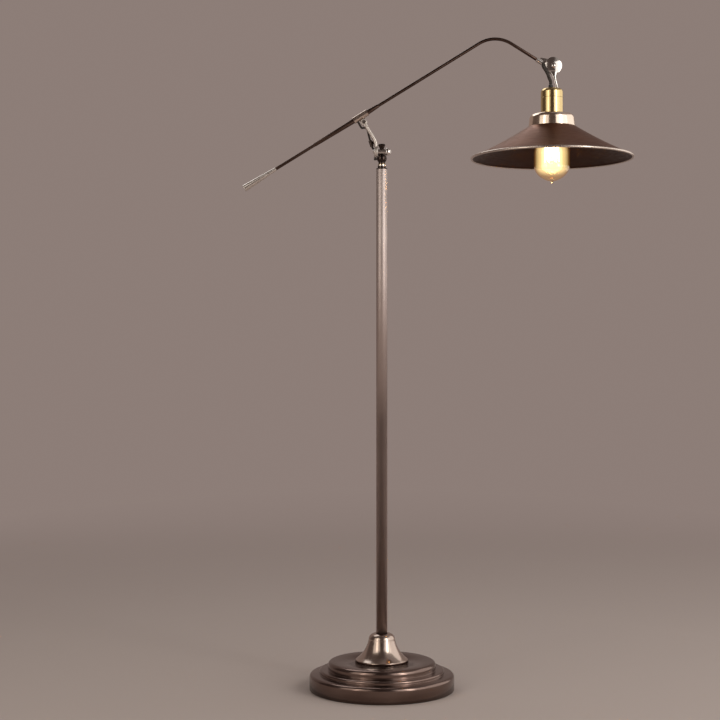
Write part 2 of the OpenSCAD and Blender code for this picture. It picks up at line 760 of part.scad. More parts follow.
// The arm's axis from one point behind the bend to one ahead of it.
bend_centre = bend_start + arm_bend * [sin(arm_slope), -cos(arm_slope)];
function arm_line(from, to) = [for (q = concat([from],
    arc(bend_centre, arm_bend, 90 + arm_slope, 90 - nose_slope, 12), [to])) [q[0], 0, q[1]]];

module arm_tube() {
    color("#4c403a") difference() {
        lead(arm_line(flare_start, arm_end), arm_d, 24);
        lead(arm_line(flare_start - 2 * arm_dir, arm_end + 2 * nose_dir), arm_bore, 24);
        rod(entry - sleeve_d * run_dir, entry, entry_hole_d);
    }
}

module arm_tail() {
    color("#5a4d46") translate([tail_end[0], 0, tail_end[1]])
        rotate([0, 90 - arm_slope, 0]) difference() {
            union() {
                cylinder(d1 = flare_d, d2 = arm_d + 1.2, h = flare_len);
                translate([0, 0, flare_len - eps]) cylinder(d = arm_d + 1.2, h = 8);
            }
            translate([0, 0, flare_len]) cylinder(d = arm_d + 2 * fit, h = 20);
            translate([0, 0, -eps])
                cylinder(d1 = flare_d - 2 * flare_wall, d2 = flare_d * 0.5, h = tail_socket);
        }
}

// The lead inside the arm, from the sleeve's inlet round the bend to the front end.
module arm_lead() {
    color("#2a2523") lead(arm_line(entry + 2.6 * arm_dir, arm_end - 3 * nose_dir), thin_lead_d, 12);
}

// ---- head joint ----
module arm_joint_lug() {
    back = arm_end - ferrule_len * nose_dir;
    tang_foot = arm_end - 5 * nose_dir + ferrule_d / 2 * nose_up;
    y0 = joint_gap / 2;
    color("#d2cbc2") difference() {
        union() {
            across(joint, disc_d, y0, y0 + disc_t);
            rod(back, arm_end, ferrule_d);
            hull() {
                across(tang_foot, tang_d, y0, y0 + 4, $fn = 32);
                across(joint + [-5, 5], tang_root_d, y0, y0 + 4, $fn = 32);
            }
        }
        rod(back - 2 * nose_dir, arm_end + nose_dir, arm_d + 2 * fit);
        across(joint, joint_bolt_d + 2 * fit, -1, 20);
    }
}

module joint_bolt() {
    y_face = -joint_gap / 2 - disc_t - slip;
    color("#d8d2ca") difference() {
        union() {
            across(joint, joint_bolt_d, y_face - eps, disc_t + joint_gap / 2 + joint_nut_h + 1);
            intersection() {
                across(joint, joint_head_d, y_face - joint_head_h, y_face);
                translate([joint[0], y_face + 3.2, joint[1]]) sphere(r = joint_head_h + 3.2);
            }
        }
        translate([joint[0] - joint_head_d, y_face - joint_head_h - 1, joint[1] - 0.6])
            cube([2 * joint_head_d, 2.2, 1.2]);
    }
}

module joint_washer() {
    color("#3a3431") difference() {
        across(joint, disc_d - 6, -joint_gap / 2 + slip, joint_gap / 2);
        across(joint, joint_bolt_d + 2 * fit, -1, 1);
    }
}

module joint_nut() {
    y0 = joint_gap / 2 + disc_t;
    color("#d8d2ca") difference() {
        translate([joint[0], y0 + joint_nut_h, joint[1]])
            rotate([90, 0, 0]) cylinder(d = joint_bolt_d * 1.9, h = joint_nut_h, $fn = 6);
        across(joint, joint_bolt_d + 2 * fit, 0, 20);
    }
}

module head_joint_lug() {
    y1 = -joint_gap / 2;
    foot = [axis_x + foot_x, cap_top_z];
    knee = joint + [1.5, -disc_d / 2 - 4];
    color("#d2cbc2") difference() {
        union() {
            across(joint, disc_d, y1 - disc_t, y1);
            hull() {
                across(joint + [0.5, -disc_d / 2 + 4], 11, y1 - 4.4, y1 - 0.4, $fn = 32);
                across(knee, stem_d, y1 - 4.4, y1 - 0.4, $fn = 32);
            }
            hull() {
                across(knee, stem_d, y1 - 4.4, y1 - 0.4, $fn = 32);
                translate([foot[0], 0, foot[1] + foot_h]) cylinder(d = stem_d, h = 1, $fn = 32);
            }
            translate([foot[0], 0, foot[1]]) cylinder(d = foot_d, h = foot_h);
            translate([foot[0], 0, foot[1] - holder_t - 3]) cylinder(d = 3, h = 4);
        }
        across(joint, joint_bolt_d + 2 * fit, -20, 1);
    }
}

// Short covered lead from the arm's open end, past the front of the joint, to the cord grip.
head_lead_points = concat(
    [[arm_end[0] + 0.3 * nose_dir[0], 0, arm_end[1] + 0.3 * nose_dir[1]]],
    [for (q = [[1.2, -0.6, -1.1], [1.85, -2.6, -2.7], [1.35, -5.6, -4.6], [1.6, -8.8, -8.8],
               [4.4, -9.1, -13.4], [7.6, -9, -18.6], [10.6, -7.4, -24.2], [13.2, -4.2, -30]])
        [arm_end[0] + q[0], q[1], arm_end[1] + q[2]]],
    [[axis_x + grip_x - 0.5, -1.3, cap_top_z + grip_h + 7],
     [axis_x + grip_x, 0, cap_top_z + grip_h + 1]]);
module head_lead() {
    color("#2f2926") lead(head_lead_points, joint_lead_d, 12, thin = [3.6, 4.2, 5, 5.8]);
}

// ---- lampholder ----
module cord_grip() {
    color("#1f1c1b") translate([axis_x + grip_x, 0, cap_top_z]) difference() {
        union() {
            cylinder(d1 = grip_d, d2 = grip_d - 1, h = grip_h);
            translate([0, 0, -holder_t - 4]) cylinder(d = grip_d - 2, h = holder_t + 4 + eps);
        }
        translate([0, 0, -holder_t - 5]) cylinder(d = lead_d, h = 20);
    }
}

module holder_cap() {
    r = holder_d / 2;
    color("#c79b45") translate([axis_x, 0, 0]) difference() {
        lathe(concat(
            [[0, cap_top_z]],
            arc([cap_flat_d / 2, cap_top_z - cap_round], cap_round, 90, 0, 10),
            [[r, seam_z], [r - holder_t, seam_z]],
            arc([cap_flat_d / 2, cap_top_z - cap_round], cap_round - holder_t, 0, 90, 10),
            [[0, cap_top_z - holder_t]]));
        translate([grip_x, 0, cap_top_z - 5]) cylinder(d = grip_d - 2 + 2 * fit, h = 10);
        translate([foot_x, 0, cap_top_z - 5]) cylinder(d = 3 + 2 * fit, h = 10);
    }
}

module holder_shell() {
    color("#c79b45") translate([axis_x, 0, 0]) difference() {
        union() {
            translate([0, 0, fitter_z]) cylinder(d = holder_d, h = seam_z - fitter_z);
            translate([0, 0, skirt_z]) cylinder(d = skirt_d, h = fitter_z - skirt_z + eps);
            translate([0, 0, seam_z - eps]) cylinder(d = holder_d - 2 * holder_t - 2 * fit, h = 4);
        }
        translate([0, 0, skirt_z - 1]) cylinder(d = skirt_bore, h = cap_top_z);
    }
}

module holder_insulator() {
    color("#e8e2d6") translate([axis_x, 0, 0]) difference() {
        translate([0, 0, insulator_z]) cylinder(d = insulator_d, h = insulator_top_z - insulator_z);
        translate([0, 0, insulator_z - 1]) cylinder(d = screw_shell_d + 2 * fit, h = screw_shell_h + 3);
        for (x = [-1, 1])
            translate([x * 10, 0, insulator_top_z - 7]) cylinder(d = 4, h = 8);
    }
}

module holder_screw_shell() {
    color("#c9a455") translate([axis_x, 0, insulator_z])
        tube(screw_shell_d, screw_shell_d - 2 * screw_shell_t, screw_shell_h);
}

module holder_contact() {
    color("#c9a455") translate([axis_x, 0, 0]) {
        translate([-5, -2, contact_z - 0.7]) cube([12, 4, 0.7]);
        translate([0, 0, contact_z - 1.6]) cylinder(d = 5, h = 1.6);
    }
}

// ---- shade ----
module shade_fitter() {
    shoulder = [fitter_top_d / 2 - fitter_round, fitter_z - fitter_round];
    foot_r = fitter_d / 2;
    hole = skirt_hole_d / 2;
    t = fitter_t;
    color("#d3b09a") translate([axis_x, 0, 0]) lathe(concat(
        [[hole, fitter_z]],
        arc(shoulder, fitter_round, 90, 0, 10),
        [[foot_r, shade_z], [foot_r - t, shade_z]],
        arc(shoulder, fitter_round - t, 0, 90, 10),
        [[hole, fitter_z - t]]));
}

module shade() {
    hole = skirt_hole_d / 2;
    lower = shade_line(shade_t);
    rim = shade_line(shade_t / 2)[shade_steps];
    color("#3a2c25") translate([axis_x, 0, 0]) {
        lathe(concat(
            [[hole, shade_z], [shade_neck_r, shade_z]],
            [for (i = [1:shade_steps]) shade_line(0)[i]],
            [for (i = [shade_steps:-1:1]) lower[i]],
            [[lower[0][0], shade_z - shade_t], [hole, shade_z - shade_t]]));
        rotate_extrude() translate([shade_rim_r, rim[1]]) circle(d = rim_d);
    }
}

module shade_ring() {
    notches = 8;
    color("#c9a455") translate([axis_x, 0, shade_z - shade_t - ring_h]) difference() {
        cylinder(d = ring_d, h = ring_h);
        translate([0, 0, -1]) cylinder(d = skirt_hole_d, h = ring_h + 2);
        for (i = [0:notches - 1])
            rotate([0, 0, i * 360 / notches]) translate([ring_d / 2, 0, -1])
                cylinder(d = 4, h = ring_h + 2);
    }
}

// ---- bulb ----
module bulb_cap() {
    color("#cbb173") translate([axis_x, 0, bulb_neck_z + eps]) difference() {
        union() {
            cylinder(d = bulb_cap_d, h = bulb_cap_h - 6);
            translate([0, 0, bulb_cap_h - 6 - eps])
                cylinder(d1 = bulb_cap_d, d2 = 14, h = 4);
        }
        translate([0, 0, -1]) cylinder(d = bulb_cap_d - 1.2, h = bulb_cap_h - 6.5);
    }
}

module bulb_base_contact() {
    color("#1f1c1b") translate([axis_x, 0, bulb_neck_z + bulb_cap_h - 2]) {
        cylinder(d1 = 14, d2 = 10, h = 1.6);
        translate([0, 0, 1.6 - eps]) cylinder(d = 9, h = 0.4);
    }
}

module bulb_glass() {
    inner = bulb_line(glass_t);
    tip_z = bulb_wide_z - bulb_nose;
    n = len(inner) - 1;
    color([0.95, 0.75, 0.4, 0.35]) translate([axis_x, 0, 0]) lathe(concat(
        bulb_line(0), [[3.2, bulb_wide_z - bulb_nose + tip_h * 0.85], [1.4, tip_z + 0.6], [0, tip_z]],
        [[0, bulb_wide_z - (bulb_nose - tip_h - glass_t)]],
        [for (i = [n:-1:0]) inner[i]]));
}

module bulb_stem() {
    top = bulb_neck_z + 1;
    color("#e8e2d6") translate([axis_x, 0, top]) mirror([0, 0, 1]) {
        cylinder(r = bulb_neck_r - glass_t - 0.3, h = 3);
        translate([0, 0, 3 - eps]) cylinder(d1 = 14, d2 = 5, h = 24);
        translate([0, 0, 27 - 2 * eps]) cylinder(d = stem_rod_d, h = 50);
        translate([0, 0, 77 - 3 * eps]) sphere(d = 4);
    }
}

// Upright runs of the squirrel-cage filament round the stem.
module bulb_filament() {
    color("#ffd89a") translate([axis_x, 0, bulb_neck_z - cage_low]) for (i = [0:loops - 1])
        rotate([0, 0, i * 360 / loops + 30]) translate([cage_r, 0, 0]) {
            cylinder(d = filament_d, h = cage_h, $fn = 24);
            sphere(d = filament_d, $fn = 24);
            translate([0, 0, cage_h]) sphere(d = filament_d, $fn = 24);
        }
}

// Wire hooks from the stem that hold both ends of each run.
module filament_hooks() {
    color("#b9b4a6") translate([axis_x, 0, bulb_neck_z - cage_low])
        for (i = [0:loops - 1]) for (z = [0, cage_h])
            rotate([0, 0, i * 360 / loops + 30]) translate([stem_rod_d / 2 + slip, 0, z])
                rotate([0, 90, 0])
                    cylinder(d = 0.8, h = cage_r - filament_d / 2 - stem_rod_d / 2 - 2 * slip, $fn = 24);
}

base_pad();
base_weight();
base_shell();
base_nipple();
base_washer();
base_nut();
cord_inlet();
bell_cover();
pole_foot();
pole_tube();
pole_top();
pole_lead();
swivel_washer();
swivel_knuckle();
swivel_grub_screw();
swivel_cap_screw();
knuckle_bolt();
knuckle_washers();
clamp_knob();
knuckle_lead();
link_bar();
lead_clip();
link_lead();
sleeve_pin();
sleeve_pin_nut();
arm_sleeve();
rear_taper();
front_taper();
arm_tube();
arm_tail();
arm_lead();
arm_joint_lug();
joint_bolt();
joint_washer();
joint_nut();
head_joint_lug();
head_lead();
cord_grip();
holder_cap();
holder_shell();
holder_insulator();
holder_screw_shell();
holder_contact();
shade_fitter();
shade();
shade_ring();
bulb_cap();
bulb_base_contact();
bulb_glass();
bulb_stem();
bulb_filament();
filament_hooks();
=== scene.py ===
# %% [markdown]
# # A bridge floor lamp, dressed over its solids
#
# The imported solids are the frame: they say where each piece is and how big it is.
# This script gives every visible piece its finish, and remakes the turned, bent and
# blown pieces as smooth surfaces of two parameters. Nothing is moved or resized.

# %% Load the frame
import json
import math
import bmesh
import bpy
import numpy as np
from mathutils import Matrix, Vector


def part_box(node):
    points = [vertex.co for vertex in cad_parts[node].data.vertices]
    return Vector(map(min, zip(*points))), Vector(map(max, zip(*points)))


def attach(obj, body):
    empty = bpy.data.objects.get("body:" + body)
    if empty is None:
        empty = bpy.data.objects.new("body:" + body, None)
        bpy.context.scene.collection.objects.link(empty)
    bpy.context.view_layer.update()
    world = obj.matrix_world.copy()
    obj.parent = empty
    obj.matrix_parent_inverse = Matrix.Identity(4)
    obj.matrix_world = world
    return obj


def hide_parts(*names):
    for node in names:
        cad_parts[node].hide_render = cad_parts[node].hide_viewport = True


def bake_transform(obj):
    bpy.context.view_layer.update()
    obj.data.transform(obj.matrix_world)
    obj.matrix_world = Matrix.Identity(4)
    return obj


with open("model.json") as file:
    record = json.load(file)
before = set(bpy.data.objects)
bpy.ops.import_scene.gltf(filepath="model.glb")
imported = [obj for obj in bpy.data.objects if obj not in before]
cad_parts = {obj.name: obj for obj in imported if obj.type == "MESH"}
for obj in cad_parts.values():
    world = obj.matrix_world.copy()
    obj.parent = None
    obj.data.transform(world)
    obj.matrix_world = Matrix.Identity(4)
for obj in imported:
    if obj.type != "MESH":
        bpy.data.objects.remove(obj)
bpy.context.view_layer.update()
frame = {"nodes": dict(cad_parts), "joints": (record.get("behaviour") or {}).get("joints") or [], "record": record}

MM = 0.001

# %% [markdown]
# ## The camera
#
# The photograph was taken level, from the lamp's front, with a long lens. The horizon
# is about half way up the lamp, so the shade is seen a little from below and the base
# a little from above.

# %% Camera
CAMERA_AT = (-0.041, -2.750, 0.609)
FOCAL_PIXELS = 1462.0
PHOTO_PIXELS = 720.0
HORIZON_DROP = 5.0
SENSOR = 36.0

scene = bpy.context.scene
camera = bpy.data.objects.new("camera", bpy.data.cameras.new("camera"))
scene.collection.objects.link(camera)
camera.location = CAMERA_AT
camera.rotation_euler = (math.pi / 2, 0, 0)
camera.data.sensor_width = SENSOR
camera.data.lens = FOCAL_PIXELS * SENSOR / PHOTO_PIXELS
camera.data.shift_y = HORIZON_DROP / PHOTO_PIXELS
scene.camera = camera
print("lens:", round(camera.data.lens, 1), "mm")

# %% [markdown]
# ## Places taken from the frame
#
# Each place is read from the box of a solid, so the surfaces follow the solids.


# %% Places
def low(node):
    """Lowest corner of a solid, as an array."""
    return np.array(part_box(node)[0])


def high(node):
    """Highest corner of a solid, as an array."""
    return np.array(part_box(node)[1])


def middle(node):
    """Centre of a solid's box."""
    return (low(node) + high(node)) / 2


def joint_at(name):
    """Where a joint's axis is, as an array."""
    return np.array([j for j in frame["joints"] if j["name"] == name][0]["pos_m"])


BOLT = joint_at("link_tilt")
PIVOT = joint_at("arm_tilt")
JOINT = joint_at("head_tilt")
HEAD_X = middle("holder_cap")[0]
CAP_TOP = high("holder_cap")[2]
FITTER_TOP = high("shade_fitter")[2]
SHADE_TOP = low("shade_fitter")[2]
print("pivot:", PIVOT.round(4), "joint:", JOINT.round(4), "head axis x:", round(HEAD_X, 4))

# %% [markdown]
# ## Outlines and surfaces
#
# A turned piece is an outline of radius and height, swept round its axis. A bent piece
# is a cross section swept along a path. Both are grids of points, one row for each
# step of the first parameter, worked out at once.


# %% Outlines
def rounded(corners, steps=6):
    """Outline through corners (a, b, radius), each rounded by an arc of that radius.
    The arc starts and ends radius * tan(half the turn) from the corner."""
    points = np.array([c[:2] for c in corners], float) * MM
    out = []
    for i, (_, _, radius) in enumerate(corners):
        p = points[i]
        if radius == 0 or i in (0, len(corners) - 1):
            out.append(p[None])
            continue
        a = points[i - 1] - p
        b = points[i + 1] - p
        a = a / np.linalg.norm(a)
        b = b / np.linalg.norm(b)
        half = math.acos(np.clip(a @ b, -1, 1)) / 2
        reach = radius * MM / math.tan(half)
        centre = p + (a + b) / np.linalg.norm(a + b) * radius * MM / math.sin(half)
        start = p + a * reach - centre
        end = p + b * reach - centre
        t = np.linspace(0, 1, steps + 1)[:, None]
        turn = math.pi - 2 * half
        out.append(centre + (start * np.sin((1 - t) * turn) + end * np.sin(t * turn)) / math.sin(turn))
    return np.concatenate(out)


def arc_between(start, end, radius, steps):
    """Arc of a circle of that radius from start to end, bulging down and inwards: its centre
    lies off the chord's middle, at the distance that Pythagoras gives."""
    start, end = np.array(start), np.array(end)
    chord = end - start
    length = np.linalg.norm(chord)
    away = np.array([chord[1], -chord[0]]) / length
    centre = (start + end) / 2 + away * math.sqrt(radius ** 2 - length ** 2 / 4)
    first = math.atan2(*(start - centre)[::-1])
    last = math.atan2(*(end - centre)[::-1])
    last += 2 * math.pi * round((first - last) / (2 * math.pi))
    angle = np.linspace(first, last, steps)
    return centre + radius * np.stack([np.cos(angle), np.sin(angle)], 1)


def walled(outer, wall):
    """Closed outline of a shell: the outer line, then the same line set in by the wall."""
    step = np.gradient(outer, axis=0)
    step /= np.linalg.norm(step, axis=1)[:, None]
    inner = outer - wall * MM * np.stack([step[:, 1], -step[:, 0]], 1)
    inner[:, 0] = np.maximum(inner[:, 0], 0)
    return np.concatenate([outer, inner[::-1]])


# %% Surfaces
def quads(rows, cols, closed_rows):
    """Corner numbers of a grid's squares; columns go round, rows do too if closed."""
    i = np.arange(rows if closed_rows else rows - 1)[:, None]
    j = np.arange(cols)[None]
    k = (j + 1) % cols
    up = (i + 1) % rows
    return np.stack([i * cols + j, i * cols + k, up * cols + k, up * cols + j], -1).reshape(-1, 4)


def piece(name, verts, faces, body, nodes, material, slot_name, smooth=True):
    """Makes a mesh object that rides on a body and stands for the given solids."""
    mesh = bpy.data.meshes.new(name)
    mesh.from_pydata(verts.tolist(), [], [list(f) for f in faces])
    mesh.validate()
    mesh.polygons.foreach_set("use_smooth", [smooth] * len(mesh.polygons))
    mesh.materials.append(material)
    obj = bpy.data.objects.new(name, mesh)
    scene.collection.objects.link(obj)
    outward(mesh)
    if body:
        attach(obj, body)
    if nodes:
        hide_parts(*nodes)
    return obj


def outward(mesh):
    """Joins points that coincide, as at a pole, and turns the faces outwards."""
    grid = bmesh.new()
    grid.from_mesh(mesh)
    bmesh.ops.remove_doubles(grid, verts=grid.verts, dist=1e-7)
    bmesh.ops.recalc_face_normals(grid, faces=grid.faces)
    grid.to_mesh(mesh)
    grid.free()


def turned(outline, centre, axis="z", around=96, closed=False, flutes=0, flute_depth=0.0):
    """Points and faces of a turned surface: radius and height of the outline, swept
    round the axis through centre. Flutes are a cosine of the angle taken off the radius."""
    angle = np.linspace(0, 2 * math.pi, around, endpoint=False)
    r = outline[:, 0, None] * np.ones(around)
    r = r - flute_depth * MM * (0.5 + 0.5 * np.cos(flutes * angle)) * (flutes > 0) * (r > 2 * MM)
    h = outline[:, 1, None] * np.ones(around)
    a, b = r * np.cos(angle), r * np.sin(angle)
    order = {"z": (a, b, h), "y": (b, h, a), "x": (h, a, b)}[axis]
    verts = np.stack(order, -1).reshape(-1, 3) + np.array(centre)
    return verts, quads(len(outline), around, closed)


def swept(path, section, close_ends=True):
    """Points and faces of a section (its offsets across and up) swept along a path.
    Across is the path's direction crossed with the world's Y axis."""
    along = np.gradient(path, axis=0)
    along /= np.linalg.norm(along, axis=1)[:, None]
    across = np.cross(along, [0, 1, 0])
    across /= np.linalg.norm(across, axis=1)[:, None]
    up = np.cross(along, across)
    section = np.broadcast_to(section, (len(path),) + section.shape[-2:])
    verts = path[:, None] + section[..., :1] * across[:, None] + section[..., 1:] * up[:, None]
    rows, cols = verts.shape[:2]
    faces = quads(rows, cols, False).tolist()
    if close_ends:
        faces += [list(range(cols))[::-1], list(range((rows - 1) * cols, rows * cols))]
    return verts.reshape(-1, 3), faces


def ring(radius, sides=24):
    """Circle of offsets for swept(); the radius may differ from row to row."""
    angle = np.linspace(0, 2 * math.pi, sides, endpoint=False)
    return np.asarray(radius)[..., None, None] * np.stack([np.cos(angle), np.sin(angle)], -1)


def slab(width, height, power=5.0, sides=40):
    """Rounded rectangle of offsets: a superellipse of the given power."""
    angle = np.linspace(0, 2 * math.pi, sides, endpoint=False)
    c, s = np.cos(angle), np.sin(angle)
    scale = (np.abs(c) ** power + np.abs(s) ** power) ** (-1 / power)
    return np.stack([c * scale * width / 2, s * scale * height / 2], -1)


def curve_through(points, count):
    """Smooth path through points: Catmull-Rom pieces, equal steps in each."""
    p = np.asarray(points, float)
    p = np.concatenate([[2 * p[0] - p[1]], p, [2 * p[-1] - p[-2]]])
    spot = np.linspace(0, len(p) - 3 - 1e-9, count)
    i = spot.astype(int)
    t = (spot - i)[:, None]
    a, b, c, d = p[i], p[i + 1], p[i + 2], p[i + 3]
    return 0.5 * (2 * b + (c - a) * t + (2 * a - 5 * b + 4 * c - d) * t ** 2
                  + (3 * b - a - 3 * c + d) * t ** 3)


def joined(*parts):
    """Several (points, faces) as one."""
    verts, faces, start = [], [], 0
    for v, f in parts:
        verts.append(v)
        faces += [[c + start for c in face] for face in (f.tolist() if hasattr(f, "tolist") else f)]
        start += len(v)
    return np.concatenate(verts), faces


# %% [markdown]
# ## Materials
#
# Every finish is procedural and reads Object coordinates. Two effects are shared by most
# of them, so each is a node group that is built once: tool marks, which are fine lines
# drawn out along an axis with a slow change of tone, and a band, which is 1 within a
# range of heights and 0 outside it.


# %% Node groups
def new_group(name, numbers, vectors, outputs):
    """Empty shader group with named inputs and outputs; gives it with its two end nodes."""
    group = bpy.data.node_groups.new(name, "ShaderNodeTree")
    for kind, defaults in (("NodeSocketFloat", numbers), ("NodeSocketVector", vectors)):
        for label, default in defaults.items():
            group.interface.new_socket(label, in_out="INPUT", socket_type=kind).default_value = default
    for label in outputs:
        group.interface.new_socket(label, in_out="OUTPUT", socket_type="NodeSocketFloat")
    return group, group.nodes.new("NodeGroupInput").outputs, group.nodes.new("NodeGroupOutput").inputs


def ranged(nodes, links, value, from_low, from_high, to_low, to_high):
    """Maps a value from one range onto another, clamped; limits are numbers or sockets."""
    node = nodes.new("ShaderNodeMapRange")
    limits = {"From Min": from_low, "From Max": from_high, "To Min": to_low, "To Max": to_high}
    for label, limit in limits.items():
        if isinstance(limit, bpy.types.NodeSocket):
            links.new(limit, node.inputs[label])
        else:
            node.inputs[label].default_value = limit
    links.new(value, node.inputs["Value"])
    return node.outputs["Result"]


def combined(nodes, links, operation, first, second):
    """Two values put together by one of the Math node's operations."""
    node = nodes.new("ShaderNodeMath")
    node.operation = operation
    links.new(first, node.inputs[0])
    links.new(second, node.inputs[1])
    return node.outputs[0]


def tool_marks_group():
    """Lines: noise squeezed across and drawn out along an axis. Tone: a slow, even noise."""
    group, given, gives = new_group("tool_marks", {"Line Scale": 60.0, "Tone Scale": 14.0},
                                    {"Stretch": (1, 1, 14)}, ["Lines", "Tone"])
    nodes, links = group.nodes, group.links
    where = nodes.new("ShaderNodeTexCoord").outputs["Object"]
    drawn = nodes.new("ShaderNodeMapping")
    links.new(where, drawn.inputs["Vector"])
    links.new(given["Stretch"], drawn.inputs["Scale"])
    for source, scale, detail, label in ((drawn.outputs["Vector"], "Line Scale", 5, "Lines"),
                                         (where, "Tone Scale", 3, "Tone")):
        noise = nodes.new("ShaderNodeTexNoise")
        noise.inputs["Detail"].default_value = detail
        links.new(source, noise.inputs["Vector"])
        links.new(given[scale], noise.inputs["Scale"])
        links.new(ranged(nodes, links, noise.outputs["Fac"], 0.3, 0.7, 0, 1), gives[label])
    return group


def band_group():
    """1 where Low < height < High, with edges as wide as Soft."""
    group, given, gives = new_group("height_band", {"Low": 0.0, "High": 1.0, "Soft": 0.0004}, {}, ["Band"])
    nodes, links = group.nodes, group.links
    apart = nodes.new("ShaderNodeSeparateXYZ")
    links.new(nodes.new("ShaderNodeTexCoord").outputs["Object"], apart.inputs["Vector"])
    sides = []
    for label, sign in (("Low", 1), ("High", -1)):
        inside_by = combined(nodes, links, "SUBTRACT", *(apart.outputs["Z"], given[label])[::sign])
        sides.append(ranged(nodes, links, inside_by, 0, given["Soft"], 0, 1))
    links.new(combined(nodes, links, "MULTIPLY", *sides), gives["Band"])
    return group


TOOL_MARKS, HEIGHT_BAND = tool_marks_group(), band_group()
print("node groups:", [g.name for g in bpy.data.node_groups])


# %% Material helpers
def blank(name):
    """New material with a Principled shader; gives its tree and the shader."""
    material = bpy.data.materials.new(name)
    material.use_nodes = True
    return material, material.node_tree, material.node_tree.nodes["Principled BSDF"]


def placed(tree, group, **values):
    """A node group in a material, with its own values; an underscore stands for a space."""
    node = tree.nodes.new("ShaderNodeGroup")
    node.node_tree = group
    for label, value in values.items():
        node.inputs[label.replace("_", " ")].default_value = value
    return node.outputs


def tint(tree, value, dark, light):
    """Colour between two, by a value; each colour is three numbers or another node's colour."""
    node = tree.nodes.new("ShaderNodeMix")
    node.data_type = "RGBA"
    for label, colour in (("A", dark), ("B", light)):
        if isinstance(colour, tuple):
            node.inputs[label].default_value = (*colour, 1)
        else:
            tree.links.new(colour, node.inputs[label])
    tree.links.new(value, node.inputs["Factor"])
    return node.outputs["Result"]


def relief(tree, value, depth, shader):
    """Bump of the given depth in millimetres."""
    bump = tree.nodes.new("ShaderNodeBump")
    bump.inputs["Distance"].default_value = depth * MM
    tree.links.new(value, bump.inputs["Height"])
    tree.links.new(bump.outputs["Normal"], shader.inputs["Normal"])


def metal(name, dark, light, rough, stretch=(1, 1, 14), line_scale=60.0, metallic=1.0, depth=0.002, coat=0.0):
    """Metal or satin paint: a tone that wanders, a sheen that varies and fine tool lines."""
    material, tree, shader = blank(name)
    marks = placed(tree, TOOL_MARKS, Line_Scale=line_scale, Stretch=stretch)
    shader.inputs["Metallic"].default_value = metallic
    shader.inputs["Coat Weight"].default_value = coat
    tree.links.new(tint(tree, marks["Tone"], dark, light), shader.inputs["Base Color"])
    tree.links.new(ranged(tree.nodes, tree.links, marks["Lines"], 0, 1, rough * 0.8, rough * 1.25),
                   shader.inputs["Roughness"])
    relief(tree, marks["Lines"], depth, shader)
    return material


def metal_with_painted_shade(name, mask_of, first, second, roughs, depth=0.001):
    """One metal in two tones, the darker one painted shade: the second tone where the mask is 1."""
    material, tree, shader = blank(name)
    marks = placed(tree, TOOL_MARKS, Line_Scale=120.0, Stretch=(1, 1, 6))
    mask = mask_of(tree)
    shader.inputs["Metallic"].default_value = 1.0
    near = tint(tree, marks["Tone"], *first)
    far = tint(tree, marks["Tone"], *second)
    tree.links.new(tint(tree, mask, near, far), shader.inputs["Base Color"])
    tree.links.new(ranged(tree.nodes, tree.links, mask, 0, 1, *roughs), shader.inputs["Roughness"])
    relief(tree, marks["Lines"], depth, shader)
    return material


def plain(name, colour, rough, grain=300.0, depth=0.02):
    """Non-metal with a fine grain."""
    material, tree, shader = blank(name)
    grit = placed(tree, TOOL_MARKS, Line_Scale=grain, Stretch=(1, 1, 1))["Lines"]
    darker = tuple(c * 0.72 for c in colour)
    tree.links.new(tint(tree, grit, darker, colour), shader.inputs["Base Color"])
    tree.links.new(ranged(tree.nodes, tree.links, grit, 0, 1, rough * 0.9, min(1, rough * 1.1)),
                   shader.inputs["Roughness"])
    relief(tree, grit, depth, shader)
    return material


def braid(name, dark, light):
    """Braided cover: two sets of slanting waves, multiplied."""
    material, tree, shader = blank(name)
    where = tree.nodes.new("ShaderNodeTexCoord")
    waves = []
    for slant in (1, -1):
        turn = tree.nodes.new("ShaderNodeMapping")
        turn.inputs["Rotation"].default_value = (0, slant * 0.7, slant * 0.3)
        wave = tree.nodes.new("ShaderNodeTexWave")
        wave.inputs["Scale"].default_value = 260
        tree.links.new(where.outputs["Object"], turn.inputs["Vector"])
        tree.links.new(turn.outputs["Vector"], wave.inputs["Vector"])
        waves.append(wave.outputs["Fac"])
    weave = combined(tree.nodes, tree.links, "MULTIPLY", *waves)
    tree.links.new(tint(tree, weave, dark, light), shader.inputs["Base Color"])
    shader.inputs["Roughness"].default_value = 0.75
    relief(tree, weave, 0.25, shader)
    return material


def clear_glass(name, colour, rough=0.0):
    """Clear blown glass with a faint ripple."""
    material, tree, shader = blank(name)
    shader.inputs["Base Color"].default_value = (*colour, 1)
    shader.inputs["Transmission Weight"].default_value = 1.0
    shader.inputs["IOR"].default_value = 1.46
    shader.inputs["Roughness"].default_value = rough
    relief(tree, placed(tree, TOOL_MARKS, Tone_Scale=25.0)["Tone"], 0.02, shader)
    return material


def lit_glass(name, colour, core, edge, low_z, soft):
    """Clear glass that scatters the cage's light: strongest where it is seen face on, above
    low_z, and falling to the edge colour over soft metres and at the outline."""
    material = clear_glass(name, colour)
    tree = material.node_tree
    shader = tree.nodes["Principled BSDF"]
    facing = tree.nodes.new("ShaderNodeLayerWeight").outputs["Facing"]
    middle_on = ranged(tree.nodes, tree.links, facing, 0.12, 0.24, 1, 0)
    above = placed(tree, HEIGHT_BAND, Low=low_z, High=OVER_ALL, Soft=soft)["Band"]
    lit = combined(tree.nodes, tree.links, "MULTIPLY", middle_on, above)
    tree.links.new(tint(tree, lit, edge, core), shader.inputs["Emission Color"])
    shader.inputs["Emission Strength"].default_value = 0.45
    return material


